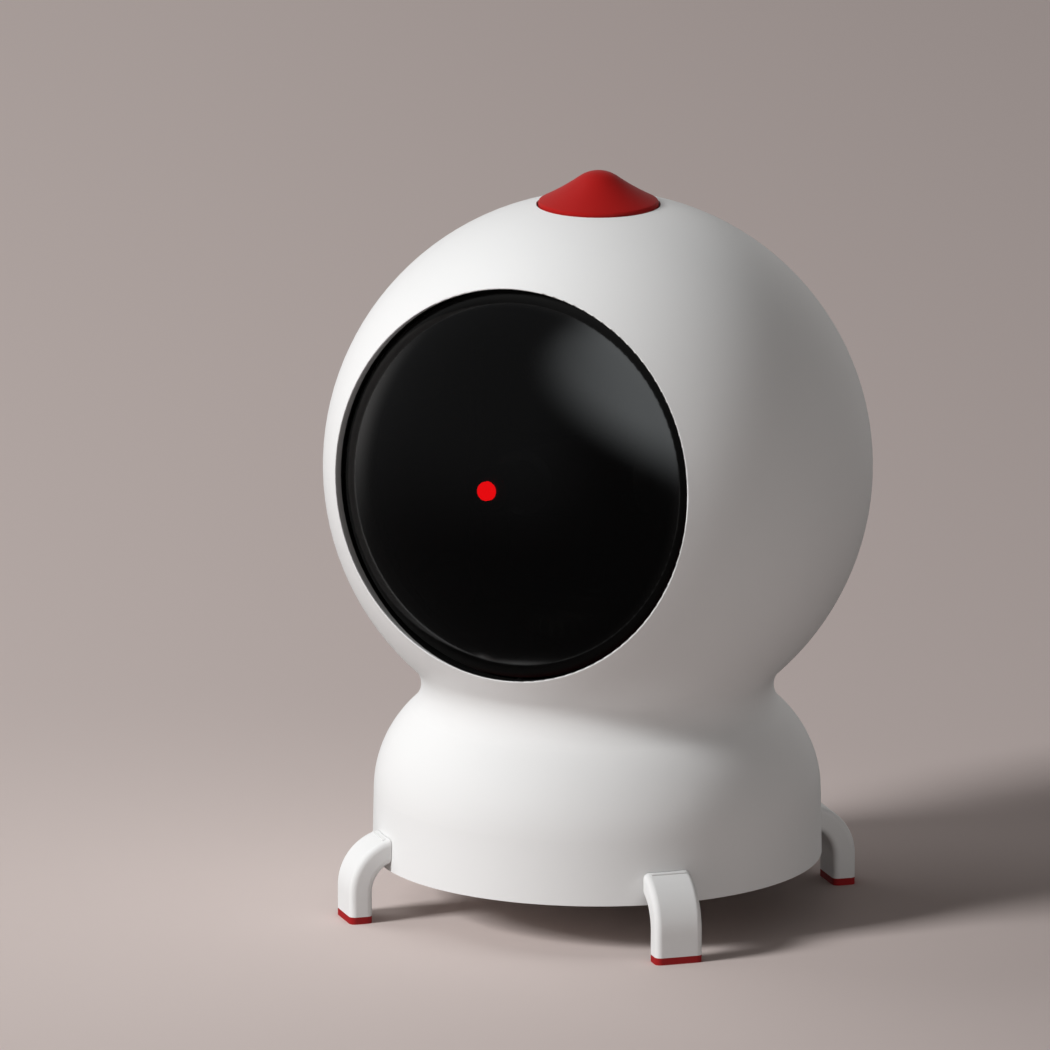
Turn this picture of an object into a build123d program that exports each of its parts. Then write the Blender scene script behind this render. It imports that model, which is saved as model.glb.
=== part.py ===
from build123d import *
import math
import os

# Automatic cat laser toy. Millimetres, +Z up, standing on z = 0 with its vertical axis at x = y = 0.
# The window faces -Y. The moving laser is worked out about the globe's centre.

# ---------------------------------------------------------------- housing
globe_radius = 40.0
wall = 2.0
neck_radius = 25.7
neck_fillet = 4.45
neck_height = 32.5384  # of the waist above the ground
neck_centre_r = neck_radius + neck_fillet
globe_height = neck_height + math.sqrt((globe_radius + neck_fillet) ** 2 - neck_centre_r**2)  # its centre
belly_radius = 17.0
base_radius = 32.8  # at the base's lower edge
base_draft = 1.0  # degrees
base_bottom = 7.5
seam_turn = 105  # degrees: keeps the round faces' own seams off the split, the slots and the bosses

lip_thickness = 0.95
lip_height = 1.0
lip_gap = 0.1

shell_boss_angles = (20, 160, 220, 320)  # seen from the front, about the globe's centre
shell_boss_inset = 9.0  # of a boss's middle inside the globe's radius
shell_boss_reach = globe_radius - shell_boss_inset
front_boss_radius = 2.9
front_boss_length = 10.5
boss_rib = 1.6  # thickness of the rib between a boss and the wall
well_radius = 3.0
well_wall = 1.2
well_floor = 4.5  # from the seam to the floor of a screw well
shell_screw_length = 12.0

# ---------------------------------------------------------------- window
window_tilt = 6.0  # degrees that the window looks up
opening_radius = 28.45
opening_lip = 0.15  # rounding of the opening's outer edge
dome_radius = 37.0
dome_inset = 2.66  # of the dome's edge behind the globe's surface
dome_gap = 0.35  # between the dome's edge and the opening
dome_edge_radius = opening_radius - dome_gap
dome_edge_round = 0.3
dome_thickness = 1.5
flange_thickness = 1.4
flange_lap = 1.95  # of the flange behind the opening's edge
flange_radius = opening_radius + flange_lap
seat_gap = 0.1
ring_inner = dome_edge_radius - seat_gap
ring_rim = 0.75
ring_border = 1.6  # of the ring's plate round its rim
ring_thickness = 1.5
ring_setback = 3.9  # from the flange's back to the ring's plate
ring_screw_offset = 0.8  # of a ring screw beyond the flange
ring_screw_reach = flange_radius + ring_screw_offset
ring_boss_radius = 2.3
ring_lobe_radius = 2.4
ring_screw_length = 4.4

# ---------------------------------------------------------------- push button
button_radius = 8.75
button_gap = 0.29
button_travel = 1.0
button_wall = 1.5
button_rise = 3.9  # top of the button above the globe's top
button_crown = globe_radius + button_rise
crown_radius = 4.9  # rounding of the button's top
flank_steep = 36.0  # degrees that its flank falls below the crown
flank_easy = 26.0  # and at its rim, where the bell flares
button_rim_round = 0.5
button_flange_lap = 1.54  # of the button's flange beyond its side
button_flange_radius = button_radius + button_flange_lap
button_flange_thickness = 1.2
button_flange_gap = 0.49  # under the shell
button_flange_top = math.sqrt((globe_radius - wall) ** 2 - button_flange_radius**2) - button_flange_gap
button_skirt_low = button_flange_top - button_flange_thickness
stem_radius = 2.0
spring_seat_drop = 3.95  # of the spring's seat below the button's top
spring_seat_height = button_crown - spring_seat_drop
spring_seat_radius = 5.0
spring_wire = 0.5
spring_turns = 4.5
spring_gap = 0.1
guide_thickness = 1.6
guide_collar_height = 5.0
guide_collar_radius = 3.4
guide_radius = 8.5
guide_clearance = 0.06
pillar_reach = 13.2
pillar_radius = 3.0
switch_size = 6.0
switch_body = 3.4
switch_plunger = 0.8
switch_plunger_radius = 1.75
switch_gap = 0.05  # left between stem and plunger when fully pressed
switch_board_length = 20.0
switch_board_width = 9.0
board_thickness = 1.2

# ---------------------------------------------------------------- legs and feet
leg_angles = {"front_left": 225, "front_right": 315, "rear_right": 45, "rear_left": 135}
leg_width = 7.1
leg_depth = 3.45
leg_stand = 6.0  # of a leg's outer face beyond the base's radius
leg_outer = base_radius + leg_stand
leg_over_tongue = 0.3
leg_arch = 4.5  # inner radius of the leg's arch
leg_round = 0.9  # rounding of the leg's long edges
leg_gap = 0.05
foot_height = 1.05
spigot_radius = 1.0
spigot_height = 1.8
spigot_clearance = 0.05
socket_headroom = 0.2
tongue_width = 5.2
tongue_thickness = 2.6
tongue_seat = 0.1  # over the bottom plate
tongue_length = 8.3  # inwards from the base's radius
tongue_screw_inset = 5.5
tongue_clearance = 0.1
tongue_cap = 0.4  # left over the screw's hole

# ---------------------------------------------------------------- base
plate_thickness = 2.0
plate_top = base_bottom + plate_thickness
plate_gap = 0.15
counterbore_radius = 2.4
counterbore_depth = 1.1
base_screw_length = 3.0
battery_length = 34.0
battery_width = 28.0
battery_height = 6.0
battery_tape = 0.2
battery_round = 1.2
battery_gap = 0.4
rib_thickness = 1.0
rib_height = 3.0
rib_length = 6.0
board_over_battery = 1.9
board_inset = 4.3  # of the board's edge inside the base's radius
board_radius = base_radius - board_inset
board_notch = 10.0
board_notch_depth = 3.6
board_boss_radius = 2.6
board_boss_offset = 3.6  # of a boss's middle beside the battery's rib
board_boss_x = battery_length / 2 + battery_gap + rib_thickness + board_boss_offset
board_boss_y = 11.0
board_screw_length = 5.0
usb_width = 8.94
usb_height = 3.26
usb_wall = 0.35
usb_depth = 7.3
usb_recess = 0.3  # socket's face behind the base's outer wall at the slot's top
usb_clearance = 0.22
lead_thickness = 1.1
lead_width = 2.4
lead_bend = 2.0
connector_inset = 8.5  # of a connector's middle inside the board's edge
battery_connector_inset = 10.0

# ---------------------------------------------------------------- moving laser
pan_range = 24.0  # degrees each way
module = 0.6
pinion_teeth = 12
gear_teeth = 36
pressure_angle = 20.0
addendum = 0.8  # in modules; stub teeth keep the small pinion free of undercut
dedendum = 1.1
backlash = 0.08
gear_thickness = 2.6

frame_thickness = 2.5
frame_pinion_gap = 0.52  # between the pan pinion's teeth and the frame
frame_half_width = 11.0
frame_window = 12.0
gear_float = 0.5  # between the yoke's gear and the lower bush
hub_radius = 9.0
ear_x = 19.0
ear_z = 10.0
ear_radius = 3.6
frame_boss_radius = 3.0
frame_screw_length = 8.0

pin_radius = 1.5
bush_radius = 2.5
bush_flange_radius = 4.0
bush_flange = 0.8
running_gap = 0.05
fit_gap = 0.02
axial_gap = 0.2
gear_seat = 0.1

yoke_half_width = 19.0
pinion_headroom = 0.32  # between the tilt pinion's teeth and the yoke
yoke_bar = 2.2
yoke_depth = 8.0
yoke_corner = 5.0
yoke_hub_radius = 3.0
dowel_radius = 0.8
slot_depth_in_gear = 3.8  # of the dowels and the stop inside the gear's pitch circle
stop_radius = 1.0
stop_gap = 0.2

pan_can_radius = 6.0
pan_can_length = 11.5
tilt_can_radius = 3.5
tilt_can_length = 12.0
motor_flange = 0.8
pan_ear_reach = 8.5
tilt_ear_reach = 6.2
motor_ear_radius = 2.2
pan_shaft_radius = 0.75
tilt_shaft_radius = 0.6
motor_nose = 1.0
pan_nose_radius = 2.5
tilt_nose_radius = 2.0

tilt_pin_radius = 1.0
tilt_pin_reach = 5.0  # into the cradle's hub
side_boss = 0.8
side_boss_radius = 3.4
cradle_hub_radius = 3.6
cradle_side_gap = 0.9
sector_cheek_gap = 1.2
sector_forward = 20.0  # degrees of the sector in front of the pinion at rest
sector_behind = 38.0
sector_hub_radius = 5.8
sector_flat = 3.05
cheek_near = 5.6
cheek_thickness = 1.8
sector_near = cheek_near + cheek_thickness + sector_cheek_gap
cradle_half_width = yoke_half_width - yoke_bar - cradle_side_gap
barrel_radius = 3.25
barrel_rear = 14.5
barrel_front = 35.3
sleeve_radius = 4.75
sleeve_front = 24.0
gusset_thickness = 2.4
lens_radius = 1.38
lens_front = 35.8
lens_gap = 0.05
driver_length = 5.5

# screw sizes: shank radius
screw_large = 1.25
screw_small = 0.9
screw_clearance = 0.2

# levels of the base, above the ground
tongue_low = plate_top + tongue_seat
tongue_high = tongue_low + tongue_thickness
tongue_end = base_radius - tongue_length
tongue_screw_reach = base_radius - tongue_screw_inset
leg_top = tongue_high + leg_over_tongue
battery_low = plate_top + battery_tape
board_height = battery_low + battery_height + board_over_battery  # underside of the main board
board_top = board_height + board_thickness
side_connector_x = board_radius - connector_inset
connector_y = battery_connector_inset - board_radius  # middle of the battery's connector

# levels above and below the globe's centre that follow from the gears
pinion_pitch = module * pinion_teeth / 2
gear_pitch = module * gear_teeth / 2
gear_distance = pinion_pitch + gear_pitch
dowel_reach = gear_pitch - slot_depth_in_gear
stop_reach = gear_pitch - slot_depth_in_gear
frame_back = gear_distance + pinion_pitch + addendum * module + frame_pinion_gap + frame_thickness
yoke_half_height = gear_distance + pinion_pitch + addendum * module + pinion_headroom + yoke_bar
arm_top = yoke_half_height + axial_gap + bush_flange + frame_thickness
pan_gear_top = -yoke_half_height - gear_seat
pan_gear_low = pan_gear_top - gear_thickness
arm_bottom = pan_gear_low - gear_float - bush_flange - frame_thickness

# the switch stands on the frame, the guide over the switch
switch_board_lift = 1.7
guide_over_switch = 0.2
board_low = arm_top + switch_board_lift
switch_low = board_low + board_thickness
switch_top = switch_low + switch_body + switch_plunger
switch_hole_reach = switch_board_length / 2 - 2.0
guide_low = switch_low + switch_body + guide_over_switch
guide_collar_top = guide_low + guide_collar_height

os.makedirs("parts", exist_ok=True)

turned = {"x": Rot(Y=90), "y": Rot(X=-90), "z": Rot()}


def save(name, *solids):
    """Write one sub-part's solids to its own file."""
    export_step(Compound(children=list(solids)), f"parts/{name}.step")


def rod(axis, radius, low, high, at=(0, 0, 0)):
    """Cylinder along x, y or z from low to high, on the line through the point at."""
    centre = list(at)
    centre["xyz".index(axis)] = (low + high) / 2
    return Pos(*centre) * turned[axis] * Cylinder(radius, high - low)


def block(x, y, z):
    """Box between pairs of limits along x, y and z."""
    size = [high - low for low, high in (x, y, z)]
    centre = [(high + low) / 2 for low, high in (x, y, z)]
    return Pos(*centre) * Box(*size)


def at_globe(shape):
    """Move a shape worked out about the globe's centre to its place."""
    return Pos(0, 0, globe_height) * shape


def facing(shape):
    """Turn a shape that points along -Y to the direction of the window and the resting laser."""
    return at_globe(Rot(X=-window_tilt) * shape)


def round_about(radius, degrees):
    """X and Z of a point round the window axis."""
    return radius * math.cos(math.radians(degrees)), radius * math.sin(math.radians(degrees))


def screw(shank, length):
    """Pan-head screw with its head's underside at z = 0 and its shank pointing down."""
    head = extrude(RegularPolygon(1.8 * shank, 12), shank)
    return head + Pos(0, 0, -length) * extrude(RegularPolygon(shank, 8), length)


def nearest_vertex(section, point):
    """The vertex of a flat section that lies nearest a point."""
    return section.vertices().sort_by(lambda v: math.dist((v.X, v.Y), point))[0]


def heading(a, b):
    """Direction in degrees from point a to point b."""
    return math.degrees(math.atan2(b[1] - a[1], b[0] - a[0]))


# ---------------------------------------------------------------- housing form
# The half section is a globe arc, a neck fillet, a belly arc and a drafted wall, each tangent to the next.
globe_centre = (0.0, globe_height)
neck_centre = (neck_centre_r, neck_height)
draft_cos = math.cos(math.radians(base_draft))
draft_sin = math.sin(math.radians(base_draft))
neck_to_belly_line = (
    draft_cos * (neck_centre[0] - base_radius) + draft_sin * (neck_centre[1] - base_bottom) + belly_radius
)
belly_slide = math.sqrt((neck_fillet + belly_radius) ** 2 - neck_to_belly_line**2)
belly_centre = (
    neck_centre[0] - neck_to_belly_line * draft_cos + belly_slide * draft_sin,
    neck_centre[1] - neck_to_belly_line * draft_sin - belly_slide * draft_cos,
)


def wall_radius(inset, height):
    """Radius of the base's wall at a height, this far inside its outer face."""
    return base_radius - (inset + draft_sin * (height - base_bottom)) / draft_cos


def belly_radius_at(height):
    """Radius of the belly's outer face at a height."""
    return belly_centre[0] + math.sqrt(belly_radius**2 - (height - belly_centre[1]) ** 2)


def housing_form(inset, low=base_bottom):
    """The housing's outer form as one solid, moved inwards by inset and cut off level at low."""
    to_neck = heading(globe_centre, neck_centre)
    to_belly = heading(neck_centre, belly_centre) % 360
    globe = CenterArc(globe_centre, globe_radius - inset, 90, to_neck - 90)
    neck = CenterArc(neck_centre, neck_fillet + inset, to_neck + 180, to_belly - to_neck - 180)
    belly = CenterArc(belly_centre, belly_radius - inset, to_belly - 180, base_draft - to_belly + 180)
    corner = (wall_radius(inset, low), low)
    side = Line(belly @ 1, corner)
    floor = Line(corner, (0, low))
    axis = Line((0, low), globe @ 0)
    section = make_face([globe, neck, belly, side, floor, axis])
    return Rot(Z=seam_turn) * revolve(Plane.XZ * section, Axis.Z, 360)


def leg_body(angle):
    """One leg with its foot, whole: an arched bar of rounded section, down to the ground."""
    foot_inner = leg_outer - leg_depth
    bend = leg_arch + leg_depth
    centre = (leg_outer - bend, leg_top - bend)
    root = base_radius - 2 * wall
    below = -2.0
    outer_arch = CenterArc(centre, bend, 90, -90)
    inner_arch = CenterArc(centre, leg_arch, 0, 90)
    outline = [
        Line((root, leg_top), outer_arch @ 0),
        outer_arch,
        Line(outer_arch @ 1, (leg_outer, below)),
        Line((leg_outer, below), (foot_inner, below)),
        Line((foot_inner, below), inner_arch @ 0),
        inner_arch,
        Line(inner_arch @ 1, (root, (inner_arch @ 1).Y)),
        Line((root, (inner_arch @ 1).Y), (root, leg_top)),
    ]
    bar = extrude(Plane.XZ * make_face(outline), leg_width / 2, both=True)
    sides = bar.faces().filter_by(Axis.Y).edges()
    bar = fillet(sides, leg_round)
    return Rot(Z=angle) * bar


def tongue(angle, grow=0.0, end=tongue_end):
    """The tongue that passes from a leg through the base's wall, or with grow the slot for it."""
    half = tongue_width / 2 + grow
    bar = block((end - grow, base_radius + 0.8), (-half, half), (tongue_low - grow, tongue_high + grow))
    return Rot(Z=angle) * bar


# ---------------------------------------------------------------- shells
outer = housing_form(0)
cavity = housing_form(wall, base_bottom - 1)
half_wall = housing_form(wall / 2, base_bottom - 1)
skin = outer - cavity
front_space = block((-60, 60), (-60, 0), (-1, 120))
rear_space = block((-60, 60), (0, 60), (-1, 120))

button_hole = rod("z", button_radius + button_gap, globe_height + 30, globe_height + 45)
leg_slots = [tongue(a, tongue_clearance, base_radius - 2 * wall) for a in leg_angles.values()]

# window stations along its own axis, measured forwards from the globe's centre
surface_at_edge = math.sqrt(globe_radius**2 - dome_edge_radius**2)
dome_forward = surface_at_edge - dome_inset - math.sqrt(dome_radius**2 - dome_edge_radius**2)
flange_front = math.sqrt((globe_radius - wall - seat_gap) ** 2 - flange_radius**2)
flange_rear = flange_front - flange_thickness
ring_front = flange_rear - ring_setback
ring_rear = ring_front - ring_thickness
ring_screw_spots = [round_about(ring_screw_reach, a) for a in (0, 90, 180, 270)]
front_bore = shell_screw_length - well_floor + 0.5


def opening_cutter():
    """The window's opening as a solid: a bore that flares at its mouth by the lip's rounding."""
    centre_r = opening_radius + opening_lip
    centre = (centre_r, math.sqrt((globe_radius - opening_lip) ** 2 - centre_r**2))
    lip = CenterArc(centre, opening_lip, 180, heading((0, 0), centre) - 180)
    mouth = lip @ 1
    beyond = globe_radius + 5
    corners = [mouth, (mouth.X, beyond), (0, beyond), (0, 10), (opening_radius, 10), lip @ 0]
    section = make_face([lip, *(Line(a, b) for a, b in zip(corners, corners[1:]))])
    return Rot(X=90) * revolve(Plane.XZ * section, Axis.Z, 360)


def front_shell():
    """Front half: window opening with a rounded lip, screw bosses and the seam's tongue."""
    shell = skin & front_space
    shell -= facing(opening_cutter())
    lip = half_wall_band(wall - lip_thickness, wall) & block((-60, 60), (-0.01, lip_height), (-1, 120))
    shell += lip
    bosses = []
    for degrees in shell_boss_angles:
        x, z = round_about(shell_boss_reach, degrees)
        bosses.append(at_globe(rod("y", front_boss_radius, -front_boss_length, 0, (x, 0, z))))
        bosses.append(wall_rib(degrees, -front_boss_length, -lip_height))
    for x, z in ring_screw_spots:
        bosses.append(facing(rod("y", ring_boss_radius, -globe_radius, -ring_front, (x, 0, z))))
    for boss in bosses:
        shell += boss & half_wall
    for degrees in shell_boss_angles:
        x, z = round_about(shell_boss_reach, degrees)
        shell -= at_globe(rod("y", screw_large + fit_gap, -front_bore, 0, (x, 0, z)))
    for x, z in ring_screw_spots:
        depth = ring_front + ring_screw_length - ring_thickness + 0.3
        shell -= facing(rod("y", screw_small + fit_gap, -depth, -ring_front, (x, 0, z)))
    shell -= button_hole
    for slot in leg_slots:
        shell -= slot
    return shell


def half_wall_band(near, far):
    """The layer of the housing's wall between two insets."""
    return housing_form(near) - housing_form(far, base_bottom - 1)


def wall_rib(degrees, near, far):
    """Rib from a shell boss out to the housing's wall, between two stations along y."""
    rib = block((shell_boss_reach, globe_radius), (near, far), (-boss_rib / 2, boss_rib / 2))
    return at_globe(Rot(Y=-degrees) * rib)


def rear_shell():
    """Rear half: screw wells, frame bosses, the seam's groove and the charging slot."""
    shell = skin & rear_space
    groove_depth = lip_height + lip_gap
    groove = half_wall_band(wall - lip_thickness - lip_gap, wall + 1)
    shell -= groove & block((-60, 60), (-1, groove_depth), (-1, 120))
    for degrees in shell_boss_angles:
        x, z = round_about(shell_boss_reach, degrees)
        shell += at_globe(rod("y", well_radius + well_wall, 0, globe_radius, (x, 0, z))) & half_wall
        shell += wall_rib(degrees, 2 * groove_depth, globe_radius) & half_wall
    for x in (-ear_x, ear_x):
        for z in (-ear_z, ear_z):
            boss = at_globe(rod("y", frame_boss_radius, frame_back, globe_radius, (x, 0, z)))
            shell += boss & half_wall
            reach = frame_back + frame_screw_length - frame_thickness + 0.5
            shell -= at_globe(rod("y", screw_large + fit_gap, frame_back, reach, (x, 0, z)))
    for degrees in shell_boss_angles:
        x, z = round_about(shell_boss_reach, degrees)
        shell -= at_globe(rod("y", well_radius, well_floor, globe_radius, (x, 0, z)))
        shell -= at_globe(rod("y", screw_large + screw_clearance, -1, globe_radius, (x, 0, z)))
    shell -= button_hole
    for slot in leg_slots:
        shell -= slot
    slot = SlotOverall(usb_width + 2 * usb_clearance, usb_height + 2 * usb_clearance)
    usb_z = board_height + board_thickness + usb_height / 2
    shell -= extrude(Plane((0, 20, usb_z), x_dir=(1, 0, 0), z_dir=(0, 1, 0)) * slot, 20)
    return shell


def window():
    """Smoked dome with a short skirt and a flange, notched round the ring's bosses."""
    skirt_inner = dome_edge_radius - dome_thickness
    dome = Pos(0, -dome_forward, 0) * Sphere(dome_radius)
    dome &= rod("y", dome_edge_radius, -2 * dome_radius, -flange_rear)
    edge = dome.edges().filter_by(GeomType.CIRCLE).sort_by(Axis.Y)[0]
    dome = fillet(edge, dome_edge_round)
    dome += rod("y", flange_radius, -flange_front, -flange_rear)
    hollow = Pos(0, -dome_forward, 0) * Sphere(dome_radius - dome_thickness)
    dome -= hollow & rod("y", skirt_inner, -2 * dome_radius, -flange_rear + 1)
    for x, z in ring_screw_spots:
        dome -= rod("y", ring_boss_radius + 2 * seat_gap, -flange_front - 1, -flange_rear + 1, (x, 0, z))
    return facing(dome)


def window_ring():
    """Retaining ring: a rim that presses the window's flange, on a plate with four screw lobes."""
    rim_outer = ring_inner + ring_rim
    ring = rod("y", rim_outer + ring_border, -ring_front, -ring_rear)
    for x, z in ring_screw_spots:
        ring += rod("y", ring_lobe_radius, -ring_front, -ring_rear, (x, 0, z))
    ring += rod("y", rim_outer, -flange_rear + seat_gap, -ring_front)
    ring -= rod("y", ring_inner, -flange_front, -ring_rear + 1)
    for x, z in ring_screw_spots:
        ring -= rod("y", screw_small + screw_clearance, -ring_front - 1, -ring_rear + 1, (x, 0, z))
    return facing(ring)


def window_screws():
    """Four screws from behind, through the ring's lobes into the front shell."""
    return [
        facing(Pos(x, -ring_rear, z) * Rot(X=-90) * screw(screw_small, ring_screw_length))
        for x, z in ring_screw_spots
    ]


def shell_screws():
    """Four screws from behind, down the rear shell's wells into the front shell's bosses."""
    found = []
    for degrees in shell_boss_angles:
        x, z = round_about(shell_boss_reach, degrees)
        found.append(at_globe(Pos(x, well_floor, z) * Rot(X=-90) * screw(screw_large, shell_screw_length)))
    return found


# ---------------------------------------------------------------- legs and feet
def leg(angle):
    """Arched leg with a tongue that is screwed inside the base, and a socket for its foot's spigot."""
    bar = leg_body(angle) & block((-60, 60), (-60, 60), (foot_height, 40))
    bar -= housing_form(-leg_gap, 0)
    bar += tongue(angle)
    socket_top = foot_height + spigot_height + socket_headroom
    socket = rod("z", spigot_radius + spigot_clearance, foot_height, socket_top, (foot_reach, 0, 0))
    hole_top = tongue_high - tongue_cap
    hole = rod("z", screw_large + fit_gap, tongue_low - 1, hole_top, (tongue_screw_reach, 0, 0))
    return bar - Rot(Z=angle) * (socket + hole)


def foot(angle):
    """Rubber pad under a leg, held by its spigot."""
    pad = leg_body(angle) & block((-60, 60), (-60, 60), (0, foot_height))
    spigot = rod("z", spigot_radius, foot_height / 2, foot_height + spigot_height, (foot_reach, 0, 0))
    return pad + Rot(Z=angle) * spigot


foot_reach = leg_outer - leg_depth / 2


# ---------------------------------------------------------------- base
plate_radius = wall_radius(wall, plate_top) - plate_gap
board_boss_spots = [(x, y) for x in (-board_boss_x, board_boss_x) for y in (-board_boss_y, board_boss_y)]


def bottom_plate():
    """Closing plate: battery ribs, board bosses and four counterbored screw holes."""
    plate = rod("z", plate_radius, base_bottom, plate_top)
    for x, y in board_boss_spots:
        plate += rod("z", board_boss_radius, plate_top - 0.5, board_height, (x, y, 0))
        plate -= rod("z", screw_small + fit_gap, board_height - board_screw_length, board_height, (x, y, 0))
    near_x = battery_length / 2 + battery_gap
    near_y = battery_width / 2 + battery_gap
    far_x = near_x + rib_thickness
    far_y = near_y + rib_thickness
    rib_z = (plate_top - 0.5, plate_top + rib_height)
    corner = block((near_x - rib_length, far_x), (near_y - rib_length, far_y), rib_z)
    corner -= block((0, near_x), (0, near_y), rib_z)
    for rib in (corner, mirror(corner, Plane.YZ)):
        plate += rib
        plate += mirror(rib, Plane.XZ)
    for angle in leg_angles.values():
        spot = (tongue_screw_reach, 0, 0)
        bore = rod("z", counterbore_radius, base_bottom - 1, base_bottom + counterbore_depth, spot)
        bore += rod("z", screw_large + screw_clearance, base_bottom, plate_top + 1, spot)
        plate -= Rot(Z=angle) * bore
    return plate


def base_screws():
    """Four screws up through the bottom plate into the legs' tongues."""
    return [
        Rot(Z=angle)
        * Pos(tongue_screw_reach, 0, base_bottom + counterbore_depth)
        * Rot(X=180)
        * screw(screw_large, base_screw_length)
        for angle in leg_angles.values()
    ]


def battery():
    """Flat lithium cell with a folded end strip."""
    cell = block(
        (-battery_length / 2, battery_length / 2),
        (-battery_width / 2 + 2, battery_width / 2),
        (battery_low, battery_low + battery_height),
    )
    cell = fillet(cell.edges().filter_by(Axis.X), battery_round)
    strip = block(
        (-battery_length / 2 + 1, battery_length / 2 - 1),
        (-battery_width / 2, -battery_width / 2 + 2.5),
        (battery_low + 1.5, battery_low + battery_height - 1.5),
    )
    return cell + strip


def main_board():
    """Round circuit board with a notch at the front for the battery's leads."""
    board = rod("z", board_radius, board_height, board_top)
    half = board_notch / 2
    board -= block((-half, half), (-board_radius - 1, -board_radius + board_notch_depth), (0, 40))
    for x, y in board_boss_spots:
        board -= rod("z", screw_small + screw_clearance, 0, 40, (x, y, 0))
    return board


def board_screws():
    """Four screws that hold the main board to the bottom plate's bosses."""
    return [
        Pos(x, y, board_top) * screw(screw_small, board_screw_length + board_thickness - 0.3)
        for x, y in board_boss_spots
    ]


def chip(x, y, length, width, height):
    """One component standing on the main board."""
    return Pos(x, y, board_top + height / 2) * Box(length, width, height)


def board_chips():
    """Controller, motor driver, charger chip, crystal and a capacitor."""
    return [
        chip(-2, -8, 7, 7, 1.2),
        chip(-13, 2, 6, 10, 1.6),
        chip(9, 16, 4, 4, 0.9),
        chip(5, -1, 3.2, 2.5, 0.8),
        rod("z", 2.5, board_top, board_top + 4.5, (13, -14, 0)),
    ]


def board_connectors():
    """Plug housings for the battery, the two motors and laser, and the switch, open towards their leads."""
    found = []
    sides = ((-side_connector_x, 0, 4, -90), (side_connector_x, 0, 4, 90))
    for x, y, ways, turn in ((0, connector_y, 2, 0), *sides):
        width = 2 * ways + 2
        body = block((-width / 2, width / 2), (-3, 3), (0, 3.4))
        body -= block((-width / 2 + 0.6, width / 2 - 0.6), (-4, 1.5), (0.7, 2.7))
        found.append(Pos(x, y, board_top) * Rot(Z=turn) * body)
    return found


def usb_socket():
    """Charging socket: a rolled metal shell with its contact tongue, opening to the rear."""
    face = belly_radius_at(board_top + usb_height) - usb_recess
    plane = Plane((0, face - usb_depth, board_top + usb_height / 2), x_dir=(1, 0, 0), z_dir=(0, 1, 0))
    case = extrude(plane * SlotOverall(usb_width, usb_height), usb_depth)
    inside = SlotOverall(usb_width - 2 * usb_wall, usb_height - 2 * usb_wall)
    hollow = Pos(0, 1.0, 0) * extrude(plane * inside, usb_depth + 1)
    contact = extrude(plane * Rectangle(6.7, 0.7), usb_depth - 0.8)
    return case - hollow + contact


def battery_lead():
    """Flat twin lead from the cell's end strip, round the board's notch and back into its connector."""
    start = -battery_width / 2 - 0.05
    front = -board_radius + board_notch_depth / 2 + 0.2
    low = battery_low + battery_height / 2
    high = board_top + 1.7
    end = connector_y - 1.0
    path = FilletPolyline((start, low), (front, low), (front, high), (end, high), radius=lead_bend)
    side = trace(path, lead_thickness)
    return extrude(Plane.YZ * side, lead_width / 2, both=True)


# ---------------------------------------------------------------- push button and its switch
def push_button():
    """Bell-shaped cap, hollow, with a guide stem and a flange that stays under the shell."""
    crown = CenterArc((0, button_crown - crown_radius), crown_radius, 90, -flank_steep)
    steep, easy = math.radians(flank_steep), math.radians(flank_easy)
    shoulder = crown @ 1
    flank_radius = (button_radius - shoulder.X) / (math.sin(steep) - math.sin(easy))
    flank_x = shoulder.X + flank_radius * math.sin(steep)
    flank_z = shoulder.Y + flank_radius * math.cos(steep)
    flank = CenterArc((flank_x, flank_z), flank_radius, 270 - flank_steep, flank_steep - flank_easy)
    rim = (button_radius, (flank @ 1).Y)
    inner = button_radius - button_wall
    stem_end = switch_top + button_travel + switch_gap
    corners = [
        flank @ 1,
        (button_radius, button_flange_top),
        (button_flange_radius, button_flange_top),
        (button_flange_radius, button_skirt_low),
        (inner, button_skirt_low),
        (inner, rim[1] - button_wall / 2),
        (spring_seat_radius, spring_seat_height + 0.9),
        (spring_seat_radius, spring_seat_height),
        (stem_radius, spring_seat_height),
        (stem_radius, stem_end),
        (0, stem_end),
        (0, button_crown),
    ]
    sides = [Line(a, b) for a, b in zip(corners, corners[1:])]
    section = make_face([crown, flank, *sides])
    section = fillet(nearest_vertex(section, rim), button_rim_round)
    return at_globe(revolve(Plane.XZ * section, Axis.Z, 360))


def button_guide():
    """Bridge over the switch: its collar guides the button's stem and carries the spring."""
    top = guide_low + guide_thickness
    ears = extrude(SlotOverall(2 * (pillar_reach + pillar_radius), 2 * pillar_radius), guide_thickness)
    guide = Pos(0, 0, guide_low) * ears
    guide += rod("z", guide_radius, guide_low, top)
    guide += rod("z", guide_collar_radius, guide_low, guide_collar_top)
    guide -= rod("z", stem_radius + guide_clearance, guide_low - 1, guide_collar_top + 1)
    for x in (-pillar_reach, pillar_reach):
        guide -= rod("z", screw_small + screw_clearance, guide_low - 1, top + 1, (x, 0, 0))
    return at_globe(guide)


def guide_screws():
    """Two screws down through the guide into the frame's pillars."""
    top = guide_low + guide_thickness
    return [at_globe(Pos(x, 0, top) * screw(screw_small, 6)) for x in (-pillar_reach, pillar_reach)]


def button_spring():
    """Return spring round the guide's collar, from the guide's top up to the button's seat."""
    low = guide_low + guide_thickness + spring_gap + spring_wire / 2
    high = spring_seat_height - spring_gap - spring_wire / 2
    radius = guide_collar_radius + 0.3 + spring_wire / 2
    path = Helix((high - low) / spring_turns, high - low, radius)
    wire = Plane(origin=path @ 0, z_dir=path % 0) * RegularPolygon(spring_wire / 2, 6)
    return at_globe(Pos(0, 0, low) * sweep(wire, path=path, is_frenet=True))


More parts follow.
